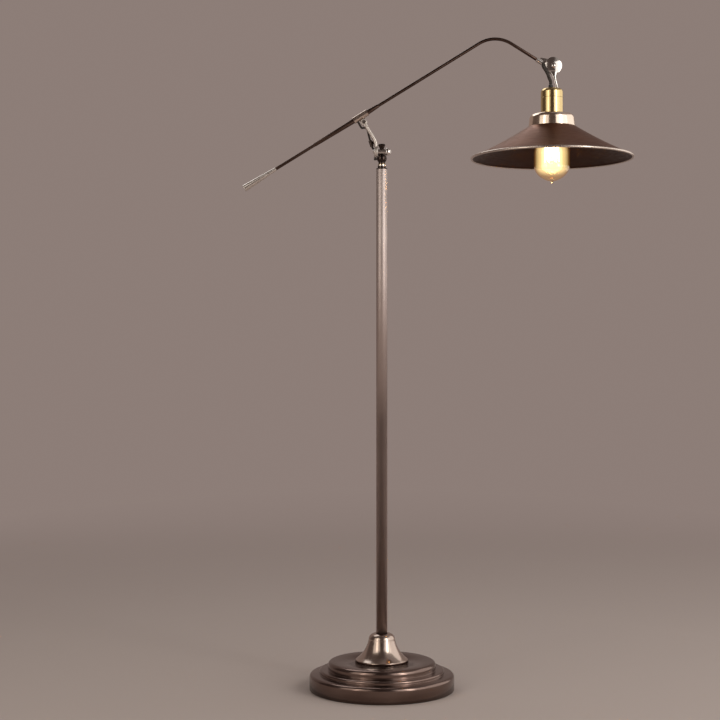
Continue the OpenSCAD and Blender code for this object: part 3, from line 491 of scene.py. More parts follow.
def glowing(name, cool, hot, strength):
    """Hot wire, a little uneven along its length."""
    material, tree, shader = blank(name)
    heat = placed(tree, TOOL_MARKS, Tone_Scale=90.0)["Tone"]
    shader.inputs["Base Color"].default_value = (0.2, 0.1, 0.05, 1)
    shader.inputs["Emission Strength"].default_value = strength
    tree.links.new(tint(tree, heat, cool, hot), shader.inputs["Emission Color"])
    return material


# %% Masks that split a piece into its metal and a tone of painted shade
OVER_ALL = 9.0
FADE_FROM, FADE_HEIGHT = 0.10, 0.80


def pole_painted_shade(tree):
    """0 at the foot of the pole, 1 near its top: the darker foot is painted shade and a painted reflection of the
    dark floor.
    """
    return placed(tree, HEIGHT_BAND, Low=FADE_FROM, High=OVER_ALL, Soft=FADE_HEIGHT)["Band"]


def collar_light(tree):
    """1 on the upper half of the pole's collar, above its dark ring of painted shadow."""
    return placed(tree, HEIGHT_BAND, Low=COLLAR_SPLIT, High=OVER_ALL)["Band"]


def barrel_light(tree):
    """1 within the barrel's radius of the bolt's axis: the length of (0, y, z - bolt). Outside it, on the ball,
    the dark tone is painted shade and painted dark reflection.
    """
    where = tree.nodes.new("ShaderNodeTexCoord")
    centred = tree.nodes.new("ShaderNodeMapping")
    centred.inputs["Location"].default_value = (0, 0, -BOLT[2])
    centred.inputs["Scale"].default_value = (0, 1, 1)
    distance = tree.nodes.new("ShaderNodeVectorMath")
    distance.operation = "LENGTH"
    tree.links.new(where.outputs["Object"], centred.inputs["Vector"])
    tree.links.new(centred.outputs["Vector"], distance.inputs[0])
    return ranged(tree.nodes, tree.links, distance.outputs["Value"],
                  BARREL_R + 0.0001, BARREL_R + 0.0003, 1, 0)


# Height of the collar's dark foot ring, a painted shadow at the pole's top.
PAINTED_SHADOW_RING = 0.0055
BARREL_R = (high("knuckle_washers")[2] - low("knuckle_washers")[2]) / 2
COLLAR_SPLIT = high("pole_tube")[2] + PAINTED_SHADOW_RING

# %% Materials
NICKEL_TONES = ((0.52, 0.42, 0.36), (0.62, 0.51, 0.44))
PALE_TONES = ((0.66, 0.60, 0.55), (0.76, 0.70, 0.65))
# Dark tones: the cap screw's dark steel, and the painted shade on the knuckle's ball and the collar's foot.
DARK_TONES = ((0.040, 0.028, 0.024), (0.070, 0.052, 0.044))
BRONZE = metal("bronze_paint", (0.170, 0.118, 0.100), (0.235, 0.170, 0.147), 0.19, depth=0.0008)
# The pole's tone darkens towards its foot: painted shade and a painted reflection of the floor.
POLE_BRONZE_PAINTED_SHADE = metal_with_painted_shade("pole_bronze", pole_painted_shade, ((0.44, 0.335, 0.30), (0.50, 0.385, 0.35)),
                         ((0.50, 0.425, 0.40), (0.57, 0.49, 0.46)), (0.44, 0.50), 0.0002)
ARM_BRONZE = metal("arm_bronze", (0.075, 0.045, 0.035), (0.120, 0.078, 0.063), 0.30, (1, 14, 1), 40.0,
                   depth=0.001)
NICKEL = metal("satin_nickel", *NICKEL_TONES, 0.20, depth=0.0005)
LINK_NICKEL = metal("link_nickel", *PALE_TONES, 0.45, (1, 1, 1), 30.0, depth=0.0004)
TAIL_NICKEL = metal("tail_nickel", *PALE_TONES, 0.28, (5, 5, 5), 20.0, depth=0.0003)
POLISHED = metal("polished_nickel", (0.74, 0.69, 0.65), (0.84, 0.80, 0.76), 0.12, depth=0.0004)
DARK_STEEL = metal("dark_steel", *DARK_TONES, 0.16, depth=0.0008)
# The knuckle's ball gets the dark tones as painted shade; its barrel keeps the pale metal.
KNUCKLE = metal_with_painted_shade("knuckle_painted_shade", barrel_light, DARK_TONES, PALE_TONES, (0.14, 0.24), 0.0005)
# The collar's foot ring gets the dark tones as a painted shadow.
COLLAR = metal_with_painted_shade("collar_painted_shadow", collar_light, DARK_TONES, PALE_TONES, (0.2, 0.24), 0.0005)
ZINC = metal("zinc_steel", (0.42, 0.41, 0.38), (0.55, 0.53, 0.50), 0.34)
BRASS = metal("polished_brass", (0.74, 0.55, 0.24), (0.88, 0.70, 0.38), 0.13, depth=0.0004)
ROSE = metal("rose_nickel", (0.86, 0.68, 0.52), (0.95, 0.80, 0.66), 0.15, depth=0.0004)
# The rim bead's pale tone is a painted highlight along the rolled edge.
RIM_HIGHLIGHT = metal("rim_painted_highlight", (0.62, 0.53, 0.46), (0.80, 0.70, 0.62), 0.26, (4, 4, 4), 90.0, depth=0.0008)
SHADE_OUT = metal("shade_bronze", (0.160, 0.060, 0.027), (0.225, 0.092, 0.045), 0.36)
# The shade's inside is a darker copy of its outside bronze: painted shade.
SHADE_IN = metal("shade_inside", (0.042, 0.016, 0.008), (0.064, 0.027, 0.014), 0.42, metallic=0.85)
IRON = plain("cast_iron", (0.10, 0.095, 0.09), 0.7, 120.0, 0.3)
FELT = plain("felt", (0.035, 0.032, 0.03), 0.95, 900.0, 0.4)
RUBBER = plain("rubber", (0.022, 0.020, 0.020), 0.6, 500.0, 0.05)
CERAMIC = plain("porcelain", (0.72, 0.70, 0.65), 0.18, 30.0, 0.01)
VITRITE = plain("vitrite", (0.02, 0.018, 0.018), 0.15, 60.0, 0.01)
BRAID = braid("lead_cover", (0.022, 0.017, 0.014), (0.085, 0.066, 0.055))
BULB_GLASS = lit_glass("bulb_glass", (1.0, 0.90, 0.72), (1.0, 0.80, 0.42), (0.05, 0.022, 0.006),
                       low("bulb_glass")[2] + 0.012, 0.012)
STEM_GLASS = clear_glass("stem_glass", (0.97, 0.95, 0.90), 0.05)
FILAMENT = glowing("filament", (1.0, 0.58, 0.22), (1.0, 0.74, 0.40), 12.0)
print("materials:", len(bpy.data.materials))

# %% [markdown]
# ## Base, bell and pole
#
# The spun shell, the bell and the pole are all turned about the lamp's upright axis.

# %% Base shell
ORIGIN = (0, 0, 0)
BASE_R = high("base_shell")[0] / MM
BASE_H = high("base_shell")[2] / MM
NIPPLE_HOLE = 5.3
SHELL_FOOT, SHELL_T, EASE = 1.0, 1.5, 0.8
DRUM_H, DRUM_ROUND = 30.0, 6.0
BEAD_R, BEAD_TOP, BEAD_ROUND = 117.0, 38.0, 3.4
TIER_R, TIER_ROUND = 102.0, 7.4
base_line = rounded([(BASE_R, SHELL_FOOT, 0), (BASE_R, DRUM_H, DRUM_ROUND), (BEAD_R, DRUM_H + 1, EASE),
                     (BEAD_R, BEAD_TOP, BEAD_ROUND), (TIER_R - 1, BEAD_TOP, EASE),
                     (TIER_R, BASE_H, TIER_ROUND), (NIPPLE_HOLE, BASE_H, 0)], 8)
piece("spun_base_shell", *turned(walled(base_line, SHELL_T), ORIGIN, around=160, closed=True),
      "base", ["base_shell"], BRONZE, "bronze_paint")

# %% Bell cover
BELL_R, BELL_FOOT = high("bell_cover")[0] / MM, 3.0
BELL_TOP, BELL_SIDE, SHOULDER_R = high("bell_cover")[2] / MM, 25.0, 12.0
POLE_HOLE_R = 10.65
flare_radius = (BELL_TOP - BASE_H - SHOULDER_R - BELL_FOOT) * 1.62
flare = arc_between((BELL_R, BASE_H + BELL_FOOT), (BELL_SIDE, BELL_TOP - SHOULDER_R), flare_radius, 36)
bell_foot = rounded([(BELL_R, BASE_H, 0), (BELL_R, BASE_H + BELL_FOOT, 1.3), (*flare[3], 0)])
quarter = np.linspace(0, math.pi / 2, 16)[1:, None]
shoulder = np.array([BELL_SIDE - SHOULDER_R, BELL_TOP - SHOULDER_R]) \
    + SHOULDER_R * np.concatenate([np.cos(quarter), np.sin(quarter)], 1)
bell_line = np.concatenate([bell_foot, flare[4:] * MM, shoulder * MM, [[POLE_HOLE_R * MM, BELL_TOP * MM]]])
piece("bell", *turned(walled(bell_line, SHELL_T), ORIGIN, around=128, closed=True),
      "base", ["bell_cover"], NICKEL, "nickel")

# %% Pole
POLE_R = high("pole_tube")[0] / MM
pole_low, pole_high = low("pole_tube")[2] / MM, high("pole_tube")[2] / MM
pole_line = rounded([(POLE_R, pole_low, 0), (POLE_R, pole_high, 0.4), (POLE_R - 1.5, pole_high, 0)], 3)
piece("pole", *turned(walled(pole_line, 1.4)[:-1], ORIGIN, closed=True),
      "base", ["pole_tube"], POLE_BRONZE_PAINTED_SHADE, "pole_bronze")

# %% Finishes of the plain solids
FINISH = {
    "felt": FELT, "iron": IRON, "bronze_paint": BRONZE, "pole_bronze": POLE_BRONZE_PAINTED_SHADE, "nickel": NICKEL,
    "polished": POLISHED, "dark_steel": DARK_STEEL, "zinc_steel": ZINC, "brass": BRASS,
    "copper_nickel": ROSE, "shade_bronze": SHADE_OUT, "black_rubber": RUBBER, "lead_cover": BRAID,
    "ceramic": CERAMIC, "bulb_glass": BULB_GLASS, "glass_stem": STEM_GLASS, "filament": FILAMENT,
    "contact_black": VITRITE}
for part in frame["record"]["subparts"]:
    solid = frame["nodes"][part["node"]]
    solid.data.materials.clear()
    solid.data.materials.append(FINISH[part["material_slot"]])
# The knuckle's ball and the collar's foot carry painted shade in their dark tone.
for node, finish in {"swivel_knuckle": KNUCKLE, "pole_top": COLLAR}.items():
    frame["nodes"][node].data.materials.clear()
    frame["nodes"][node].data.materials.append(finish)

# %% [markdown]
# ## Pole-top knuckle and link
#
# A ball, whose dark tone is painted shade, carries a bright cross barrel. The bolt through it
# holds the link's eye on the left and is drawn tight by a fluted knob on the right.

# %% Cap screw and clamp knob
cap_low, cap_high = high("swivel_knuckle")[2] / MM, high("swivel_cap_screw")[2] / MM
CAP_R = high("swivel_cap_screw")[0] / MM
cap_line = rounded([(0, cap_low, 0), (CAP_R * 0.52, cap_low, 0.5), (CAP_R, cap_high - 2, 0.8),
                    (CAP_R - 1.4, cap_high, 1.0), (3.2, cap_high, 0.3), (2.6, cap_high - 0.8, 0.3),
                    (0, cap_high - 0.8, 0)])
piece("cap_screw", *turned(cap_line, ORIGIN), "knuckle", ["swivel_cap_screw"], DARK_STEEL, "dark_steel")

knob_near, knob_far = low("clamp_knob")[0] / MM, high("clamp_knob")[0] / MM
KNOB_R = (high("clamp_knob")[2] - low("clamp_knob")[2]) / 2 / MM
knob_mid = knob_far - KNOB_R
knob_angle = np.linspace(math.acos((knob_near - knob_mid) / KNOB_R), 0, 40)
knob_line = np.stack([KNOB_R * np.sin(knob_angle), knob_mid + KNOB_R * np.cos(knob_angle)], 1) * MM
knob_line = np.concatenate([[[0, knob_near * MM]], knob_line])
piece("fluted_knob", *turned(knob_line, (0, 0, BOLT[2]), "x", 192, flutes=24, flute_depth=0.12),
      "knob", ["clamp_knob"], POLISHED, "polished")

# %% Link
LINK_T, LINK_W, EYE_R = 6.5, 11.0, 11.0
BOLT_HOLE_R, PIN_HOLE_R = 3.05, 2.05
ARM_SLOPE = math.radians(31.7)
NOSE_SLOPE = math.radians(32.2)
LINK_UP, LINK_BEND, LINK_RUN = 8.0, 36.0, 33.4
arm_way = np.array([math.cos(ARM_SLOPE), 0, math.sin(ARM_SLOPE)])
run_way = np.array([-math.sin(ARM_SLOPE), 0, math.cos(ARM_SLOPE)])
nose_way = np.array([math.cos(NOSE_SLOPE), 0, -math.sin(NOSE_SLOPE)])
Y_WAY = np.array([0.0, 1.0, 0.0])

turn = np.linspace(0, ARM_SLOPE, 14)[:, None]
bend_middle = BOLT + np.array([-LINK_BEND, 0, LINK_UP]) * MM
bend = bend_middle + LINK_BEND * MM * np.concatenate([np.cos(turn), 0 * turn, np.sin(turn)], 1)
start_at = BOLT + np.array([[0, 0, 2.0], [0, 0, 5.0]]) * MM
FORK_R = 5.9
run_at = bend[-1] + run_way * np.linspace(2, LINK_RUN - 8.6, 8)[:, None] * MM
link_path = np.concatenate([start_at, bend, run_at])
bar = swept(link_path, slab(LINK_T * MM, LINK_W * MM, 2.6))
eye_line = rounded([(BOLT_HOLE_R, -LINK_T / 2, 0), (EYE_R, -LINK_T / 2, 0.7), (EYE_R, LINK_T / 2, 0.7),
                    (BOLT_HOLE_R, LINK_T / 2, 0)])
eye = turned(eye_line, BOLT, "x", closed=True)


def cheek(side):
    """One cheek of the fork: a disc round the pivot, and a short flat up to it from the bar."""
    inner_y, outer_y = 2.6, LINK_W / 2
    line = rounded([(PIN_HOLE_R, inner_y, 0), (FORK_R, inner_y, 0.3), (FORK_R, outer_y, 0.7),
                    (PIN_HOLE_R, outer_y, 0)])
    line[:, 1] *= side
    disc = turned(line, PIVOT, "y", closed=True)
    web_path = PIVOT + run_way * np.array([[-9.4], [-7.5], [-5.5], [-3.4]]) * MM
    web_path = web_path + Y_WAY * side * (inner_y + outer_y) / 2 * MM
    return disc, swept(web_path, slab(LINK_T * MM, (outer_y - inner_y) * MM))


near_disc, near_web = cheek(-1)
far_disc, far_web = cheek(1)
piece("bent_link", *joined(bar, eye, near_disc, near_web, far_disc, far_web),
      "link", ["link_bar"], LINK_NICKEL, "nickel")
print("link path points:", len(link_path))

# %% [markdown]
# ## Arm
#
# One tube: a long straight part, a bend, and a shorter nose. Its tail is a flared
# socket that opens at the back.

# %% Arm tube
ARM_R, ARM_BEND = 3.0, 58.0
ARM_REACH, NOSE_LEN, EAR_DROP, TAIL_LEN, FLARE_LEN = 298.0, 104.0, 12.5, 257.0, 62.0
arm_mid = PIVOT + EAR_DROP * run_way * MM
crossing = arm_mid + ARM_REACH * arm_way * MM
arm_end = crossing + NOSE_LEN * nose_way * MM
tail_end = arm_mid - TAIL_LEN * arm_way * MM
flare_start = tail_end + FLARE_LEN * arm_way * MM
tangent = ARM_BEND * math.tan((ARM_SLOPE + NOSE_SLOPE) / 2) * MM
bend_centre = crossing - tangent * arm_way - ARM_BEND * run_way * MM
sweep = np.linspace(math.pi / 2 + ARM_SLOPE, math.pi / 2 - NOSE_SLOPE, 48)
bend_arc = bend_centre + ARM_BEND * MM * np.stack([np.cos(sweep), 0 * sweep, np.sin(sweep)], 1)
arm_path = np.concatenate([flare_start + np.array([[0.0], [0.002]]) * arm_way, bend_arc,
                           arm_end - np.array([[0.0006], [0.0]]) * nose_way])
arm_radius = np.full(len(arm_path), ARM_R * MM)
arm_radius[-1] -= 0.3 * MM
piece("arm_tube_bent", *swept(arm_path, ring(arm_radius, 40)),
      "arm", ["arm_tube"], ARM_BRONZE, "bronze_paint")


def leant(surface, lean, origin):
    """Tips a surface made about the upright axis over towards +X, and puts it at origin."""
    verts, faces = surface
    x, y, z = verts.T
    c, s = math.cos(lean), math.sin(lean)
    tipped = np.stack([x * c + z * s, y, z * c - x * s], 1)
    return tipped + origin, faces


TAIL_R, TAIL_WALL, SOCKET, LEAN = 6.75, 1.4, 14.0, math.pi / 2 - ARM_SLOPE
TUBE_HOLE_R, NECK_OUT, NECK_LEN = 3.05, 3.6, 8.0
tail_line = rounded([(0, SOCKET, 0), (3.3, SOCKET, 0.4), (TAIL_R - TAIL_WALL, 0.1, 0.3), (TAIL_R, 0, 0.5),
                     (NECK_OUT, FLARE_LEN, 30), (NECK_OUT, FLARE_LEN + NECK_LEN, 0.5),
                     (TUBE_HOLE_R, FLARE_LEN + NECK_LEN, 0), (TUBE_HOLE_R, FLARE_LEN, 0),
                     (0, FLARE_LEN, 0)], 8)
piece("flared_tail", *leant(turned(tail_line, ORIGIN), LEAN, tail_end),
      "arm", ["arm_tail"], TAIL_NICKEL, "nickel")

# %% Tapers on both sides of the sleeve
TAPER_R, TAPER_FACE = 4.8, 15.05
for node, side, length in (("rear_taper", -1, 86.0), ("front_taper", 1, 24.0)):
    taper_end = TAPER_FACE + length
    taper_line = rounded([(TUBE_HOLE_R, TAPER_FACE, 0), (TAPER_R, TAPER_FACE, 0.6), (3.5, taper_end, 0.25),
                          (TUBE_HOLE_R, taper_end, 0)]) * [1, side]
    piece(node + "_turned", *leant(turned(taper_line, ORIGIN, closed=True), LEAN, arm_mid),
          "arm", [node], ARM_BRONZE, "bronze_paint")
print("arm end:", arm_end.round(4))

# %% [markdown]
# ## Head joint
#
# Two round plates are bolted face to face. The front one carries the head on a thin
# stem, and its face is slightly domed, so it shows a bright crescent.

# %% Front plate, stem and foot
DISC_R, DISC_T, JOINT_GAP, DOME_H = 16.5, 5.0, 0.4, 3.0
face = np.linspace(BOLT_HOLE_R, DISC_R - 0.8, 14)
dome = np.stack([face, -JOINT_GAP / 2 - DISC_T + DOME_H * (face / DISC_R) ** 2], 1) * MM
rim = rounded([(face[-1], dome[-1, 1] / MM, 0), (DISC_R, -1.9, 0.6), (DISC_R, -JOINT_GAP / 2, 0.5),
               (BOLT_HOLE_R, -JOINT_GAP / 2, 0)])[1:]
front_plate = turned(np.concatenate([dome, rim]), JOINT, "y", 128, closed=True)

FOOT_X, FOOT_R = 9.5, 3.5
foot_at = np.array([HEAD_X + FOOT_X * MM, 0, CAP_TOP])
stem_y = -JOINT_GAP / 2 - 2.2
below_joint = np.array([[0.3, stem_y, -11], [0.8, stem_y, -15], [1.6, stem_y, -20.5],
                        [3.0, stem_y * 0.8, -27], [5.2, stem_y * 0.3, -35]]) * MM
STEM_STEPS, STEM_DEPTH = 40, 4.0
stem_path = curve_through([*(JOINT + below_joint), foot_at + np.array([0, 0, 1]) * MM], STEM_STEPS)
stem_width = np.interp(np.linspace(0, 1, STEM_STEPS), [0, 0.28, 0.45, 1], [14.5, 9.0, 5.2, 4.6])
stem_size = np.stack([stem_width, np.full(STEM_STEPS, STEM_DEPTH)], 1) * MM
stem_section = slab(1, 1, 3.0)[None] * stem_size[:, None]
stem = swept(stem_path, stem_section)
foot_line = rounded([(0, -1, 0), (FOOT_R, -1, 0), (FOOT_R, 1.2, 0.6), (2.4, 3.0, 1.0), (0, 3.0, 0)])
foot = turned(foot_line, foot_at)
piece("head_plate_and_stem", *joined(front_plate, stem, foot),
      "head", ["head_joint_lug"], POLISHED, "polished")

# %% [markdown]
# ## Lampholder, fitter and shade
#
# All turned about the head's own axis.

# %% Lampholder
HOLDER_R = (high("holder_cap")[0] - low("holder_cap")[0]) / 2 / MM
cap_z, seam_z = CAP_TOP / MM, low("holder_cap")[2] / MM
fitter_z, shade_z, skirt_z = FITTER_TOP / MM, SHADE_TOP / MM, low("holder_shell")[2] / MM
AXIS = (HEAD_X, 0, 0)
HOLE_R = 19.6
cap_profile = rounded([(0, cap_z, 0), (12, cap_z, 0.6), (HOLDER_R - 0.2, cap_z - 2.5, 7.0),
                       (HOLDER_R, seam_z, 0.3), (HOLDER_R - 1, seam_z, 0)], 12)
cap_inner = rounded([(HOLDER_R - 1, cap_z - 4, 0), (HOLDER_R - 4, cap_z - 1.1, 3), (0, cap_z - 1.1, 0)])[1:]
piece("holder_cap_turned", *turned(np.concatenate([cap_profile, cap_inner]), AXIS),
      "head", ["holder_cap"], BRASS, "brass")
shell_line = rounded([(18.5, seam_z, 0), (HOLDER_R, seam_z - 0.25, 0.3), (HOLDER_R, fitter_z, 0.3),
                      (19.5, fitter_z, 0), (19.5, skirt_z, 0.3), (18, skirt_z, 0.3), (18, seam_z - 2, 0)])
piece("holder_shell_turned", *turned(shell_line, AXIS, closed=True),
      "head", ["holder_shell"], BRASS, "brass")

# %% Shade fitter
FITTER_R = (high("shade_fitter")[0] - low("shade_fitter")[0]) / 2 / MM
FITTER_T, SHOULDER_X = 1.2, 41.2
fitter_line = rounded([(HOLE_R, fitter_z, 0), (SHOULDER_X, fitter_z, 9), (FITTER_R, shade_z, 0.3),
                       (FITTER_R - FITTER_T, shade_z, 0)], 14)
fitter_inner = rounded([(FITTER_R - FITTER_T, shade_z, 0), (SHOULDER_X - FITTER_T, fitter_z - FITTER_T, 8),
                        (HOLE_R, fitter_z - FITTER_T, 0)], 10)[1:]
fitter_line = np.concatenate([fitter_line, fitter_inner])
piece("shade_fitter_spun", *turned(fitter_line, AXIS, around=128, closed=True),
      "head", ["shade_fitter"], ROSE, "copper_nickel")

# %% Shade
RIM_R = high("shade")[0] / MM - HEAD_X / MM
RIM_BEAD, NECK_R, SHADE_T = 2.2, 44.5, 0.8
slope = np.radians(np.linspace(33, 24.5, 48))
arc_r = (RIM_R - RIM_BEAD - NECK_R) / (math.sin(slope[0]) - math.sin(slope[-1]))
shade_curve = np.stack([NECK_R + arc_r * (math.sin(slope[0]) - np.sin(slope)),
                        shade_z + arc_r * (math.cos(slope[0]) - np.cos(slope))], 1) * MM
normal = np.stack([np.sin(slope), np.cos(slope)], 1) * MM
bead_centre = shade_curve[-1] - normal[-1] * SHADE_T / 2
bead = np.radians(np.linspace(105, -165, 24))
bead_line = bead_centre + RIM_BEAD * MM * np.stack([np.cos(bead), np.sin(bead)], 1)
under = (shade_curve - normal * SHADE_T)[::-1][2:]
neck_top, neck_under = [[HOLE_R * MM, SHADE_TOP]], [[HOLE_R * MM, SHADE_TOP - SHADE_T * MM]]
shade_line = np.concatenate([neck_top, shade_curve[:-2], bead_line, under, neck_under])
SHADE_SIDES = 224
shade = piece("shade_metal", *turned(shade_line, AXIS, around=SHADE_SIDES, closed=True),
              "head", ["shade"], SHADE_OUT, "shade_bronze")
# Faces underneath take the darker bronze, which is painted shade.
shade.data.materials.append(SHADE_IN)
# The bead takes the pale tone, a painted highlight.
shade.data.materials.append(RIM_HIGHLIGHT)
centres = np.empty(len(shade.data.polygons) * 3)
facing = np.empty_like(centres)
shade.data.polygons.foreach_get("center", centres)
shade.data.polygons.foreach_get("normal", facing)
centres, facing = centres.reshape(-1, 3), facing.reshape(-1, 3)
out_at = np.hypot(centres[:, 0] - HEAD_X, centres[:, 1])
on_bead = out_at > bead_line[:, 0].min() + 0.0002
underneath = ~on_bead & (facing[:, 2] < 0)
shade.data.polygons.foreach_set("material_index", (underneath + 2 * on_bead).astype(np.int32))
print("shade faces:", len(shade.data.polygons))

# %% [markdown]
# ## Bulb
#
# A clear squirrel-cage bulb: a blown envelope, a glass stem, and one wire that runs up
# and down between two rings of hooks.

# %% Bulb glass
BULB_R = (high("bulb_glass")[0] - low("bulb_glass")[0]) / 2 / MM
neck_z, tip_z = high("bulb_glass")[2] / MM, low("bulb_glass")[2] / MM
BODY, SIDE, NOSE, TIP, GLASS_T, BULB_NECK_R = 84.0, 25.0, 30.0, 3.0, 0.8, 12.8
wide_z, NOSE_POWER, SWELL_POWER = neck_z - BODY, 1.14, 1.9
down = np.linspace(0, BODY, 56)
swell = np.minimum(1, down / (BODY - SIDE))
body_r = BULB_NECK_R + (BULB_R - BULB_NECK_R) * np.sin(swell * math.pi / 2) ** SWELL_POWER
body_line = np.stack([body_r, neck_z - down], 1)
round_end = np.radians(np.linspace(2, 83, 32))[:, None]


def nose_line(inset):
    """The nose, set in by the glass: a superellipse in cosine and sine to the same power."""
    return np.concatenate([(BULB_R - inset) * np.cos(round_end) ** NOSE_POWER,
                           wide_z - (NOSE - TIP - inset) * np.sin(round_end) ** NOSE_POWER], 1)


pip = [[2.7, tip_z + 2.2], [1.9, tip_z + 1.0], [1.0, tip_z + 0.3], [0, tip_z]]
outer_glass = np.concatenate([body_line, nose_line(0), pip])
inner_glass = np.concatenate([body_line - [[GLASS_T, 0]], nose_line(GLASS_T),
                              [[0, wide_z - (NOSE - TIP - GLASS_T)]]])[::-1]
glass_line = np.concatenate([outer_glass, inner_glass]) * MM
piece("bulb_envelope", *turned(glass_line, AXIS, around=128, closed=True),
      "head", ["bulb_glass"], BULB_GLASS, "bulb_glass")

# %% Filament
CAGE_R, CAGE_LOW, CAGE_H, STRANDS = 13.0, 74.0, 44.0, 6
WIRE_R, OPENING, SHARPNESS = 0.8, 0.06, 0.985
around = np.linspace(OPENING, 2 * math.pi - OPENING, 700)
swing = np.arcsin(SHARPNESS * np.sin(STRANDS * around)) / math.asin(SHARPNESS)
wire_path = np.stack([HEAD_X + CAGE_R * MM * np.cos(around), CAGE_R * MM * np.sin(around),
                      (neck_z - CAGE_LOW + CAGE_H * (0.5 + 0.5 * swing)) * MM], 1)
piece("filament_wire", *swept(wire_path, ring(WIRE_R * MM, 10)),
      "head", ["bulb_filament"], FILAMENT, "filament")
print("filament points:", len(wire_path))

# %% [markdown]
# ## Leads at the joints
#
# Three short covered leads bridge the joints. Each follows the route of its solid.
# Its points are given one by one.

# %% Leads
LEAD_R, HEAD_LEAD_R, CLIP_Y = 1.9, 3.1, 8.5
STUD_Z, EXIT_Z = BOLT[2] / MM - 16.65, BOLT[2] / MM - 13.65
clip_turn = math.radians(18)
clip_out = np.array([math.cos(clip_turn), 0, math.sin(clip_turn)])
clip_up = np.array([-math.sin(clip_turn), 0, math.cos(clip_turn)])
clip_middle = bend_middle + (LINK_BEND - LINK_T / 2 - 4.6) * MM * clip_out + CLIP_Y * MM * Y_WAY


def at_clip(*heights):
    """Points along the clip's own axis, at heights in millimetres from its middle."""
    return clip_middle + clip_up * np.array(heights)[:, None] * MM


round_the_eye = np.array([[-4, 0, 0], [-9, 0, 0], [-11.6, 1.5, -0.2], [-13, 4.8, 0], [-13, 9, 1.8],
                          [-12.6, 12.4, 5.6], [-12.2, 14, 10.2], [-12.6, 13.8, 14.5], [-14.2, 13, 18.6],
                          [-15.9, 10.8, 21]]) + [0, 0, EXIT_Z]
up_the_stud = np.array([[0, 0, STUD_Z + 0.3], [-0.3, 0, STUD_Z + 1.5], [-1.6, 0, EXIT_Z - 0.2]])
knuckle_route = np.concatenate([up_the_stud * MM, round_the_eye * MM, at_clip(-8.3, -5.5, -0.5)])
entry = arm_mid - 9 * arm_way * MM
entry_face = entry - 6.2 * run_way * MM
behind_the_pivot = np.array([[-4.2, 8.6, -24], [-1.6, 8.6, -16.5], [-1.4, 8.3, -11], [-4.8, 7.9, -7.4],
                             [-8.6, 5, -6]]) * MM
link_route = np.concatenate([at_clip(-0.4, 6, 9),
                             PIVOT + behind_the_pivot @ np.stack([arm_way, Y_WAY, run_way]),
                             [entry_face - 4 * run_way * MM + 1.6 * Y_WAY * MM,
                              entry_face - 1.5 * run_way * MM + 0.2 * Y_WAY * MM,
                              entry - 3.2 * run_way * MM]])
head_route = arm_end + np.array([[1.2, -0.6, -1.1], [1.85, -2.6, -2.7], [1.35, -5.6, -4.6], [1.6, -8.8, -8.8],
                                 [4.4, -9.1, -13.4], [7.6, -9, -18.6], [10.6, -7.4, -24.2],
                                 [13.2, -4.2, -30]]) * MM
GRIP_X, GRIP_H = -2.2, 6.0
grip = np.array([HEAD_X + GRIP_X * MM, 0, CAP_TOP + GRIP_H * MM])
head_route = np.concatenate([[arm_end + 0.3 * nose_way * MM], head_route,
                             [grip + np.array([-0.5, -1.3, 7]) * MM, grip + np.array([0, 0, 1]) * MM]])


def lead(name, route, radius, node, count=90, mouth=0):
    """A covered lead along a route, thinner for its first few millimetres if it has a mouth."""
    path = curve_through(route, count)
    size = np.full(count, radius * MM)
    if mouth:
        size[:mouth] *= np.linspace(0.58, 1, mouth)
    obj = piece(name, *swept(path, ring(size, 16)), None, [node], BRAID, "lead_cover")
    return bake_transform(obj)


lead("knuckle_lead_cover", knuckle_route, LEAD_R, "knuckle_lead")
lead("link_lead_cover", link_route, LEAD_R, "link_lead")
lead("head_lead_cover", head_route, HEAD_LEAD_R, "head_lead", mouth=24)

# %% [markdown]
# ## Studio
#
# A pale floor that curves up into a backdrop, two broad soft lights on the right, one on
# the left, and one from above and behind. A narrow, brighter strip stands in front of a
# broad light on each side, for the highlights on turned metal. Behind the camera it is
# dark, which draws the dark line down the middle of the polished pieces.

# %% Floor and backdrop
FLOOR_HALF, FLOOR_FRONT, WALL_Y, COVE_R, WALL_TOP = 8.0, -5.5, 5.0, 2.5, 7.0
cove = np.linspace(0, math.pi / 2, 24)
stage_line = np.concatenate([[[FLOOR_FRONT, 0]], np.stack([WALL_Y - COVE_R + COVE_R * np.sin(cove),
                             COVE_R - COVE_R * np.cos(cove)], 1), [[WALL_Y, WALL_TOP]]])
left = np.stack([np.full(len(stage_line), -FLOOR_HALF), *stage_line.T], 1)
right = left * [[-1, 1, 1]]
stage_mesh = bpy.data.meshes.new("floor")
count = len(stage_line)
stage_faces = [[i, i + count, i + count + 1, i + 1] for i in range(count - 1)]
stage_mesh.from_pydata(np.concatenate([left, right]).tolist(), [], stage_faces)
stage_mesh.polygons.foreach_set("use_smooth", [True] * len(stage_faces))
floor = bpy.data.objects.new("floor", stage_mesh)
scene.collection.objects.link(floor)

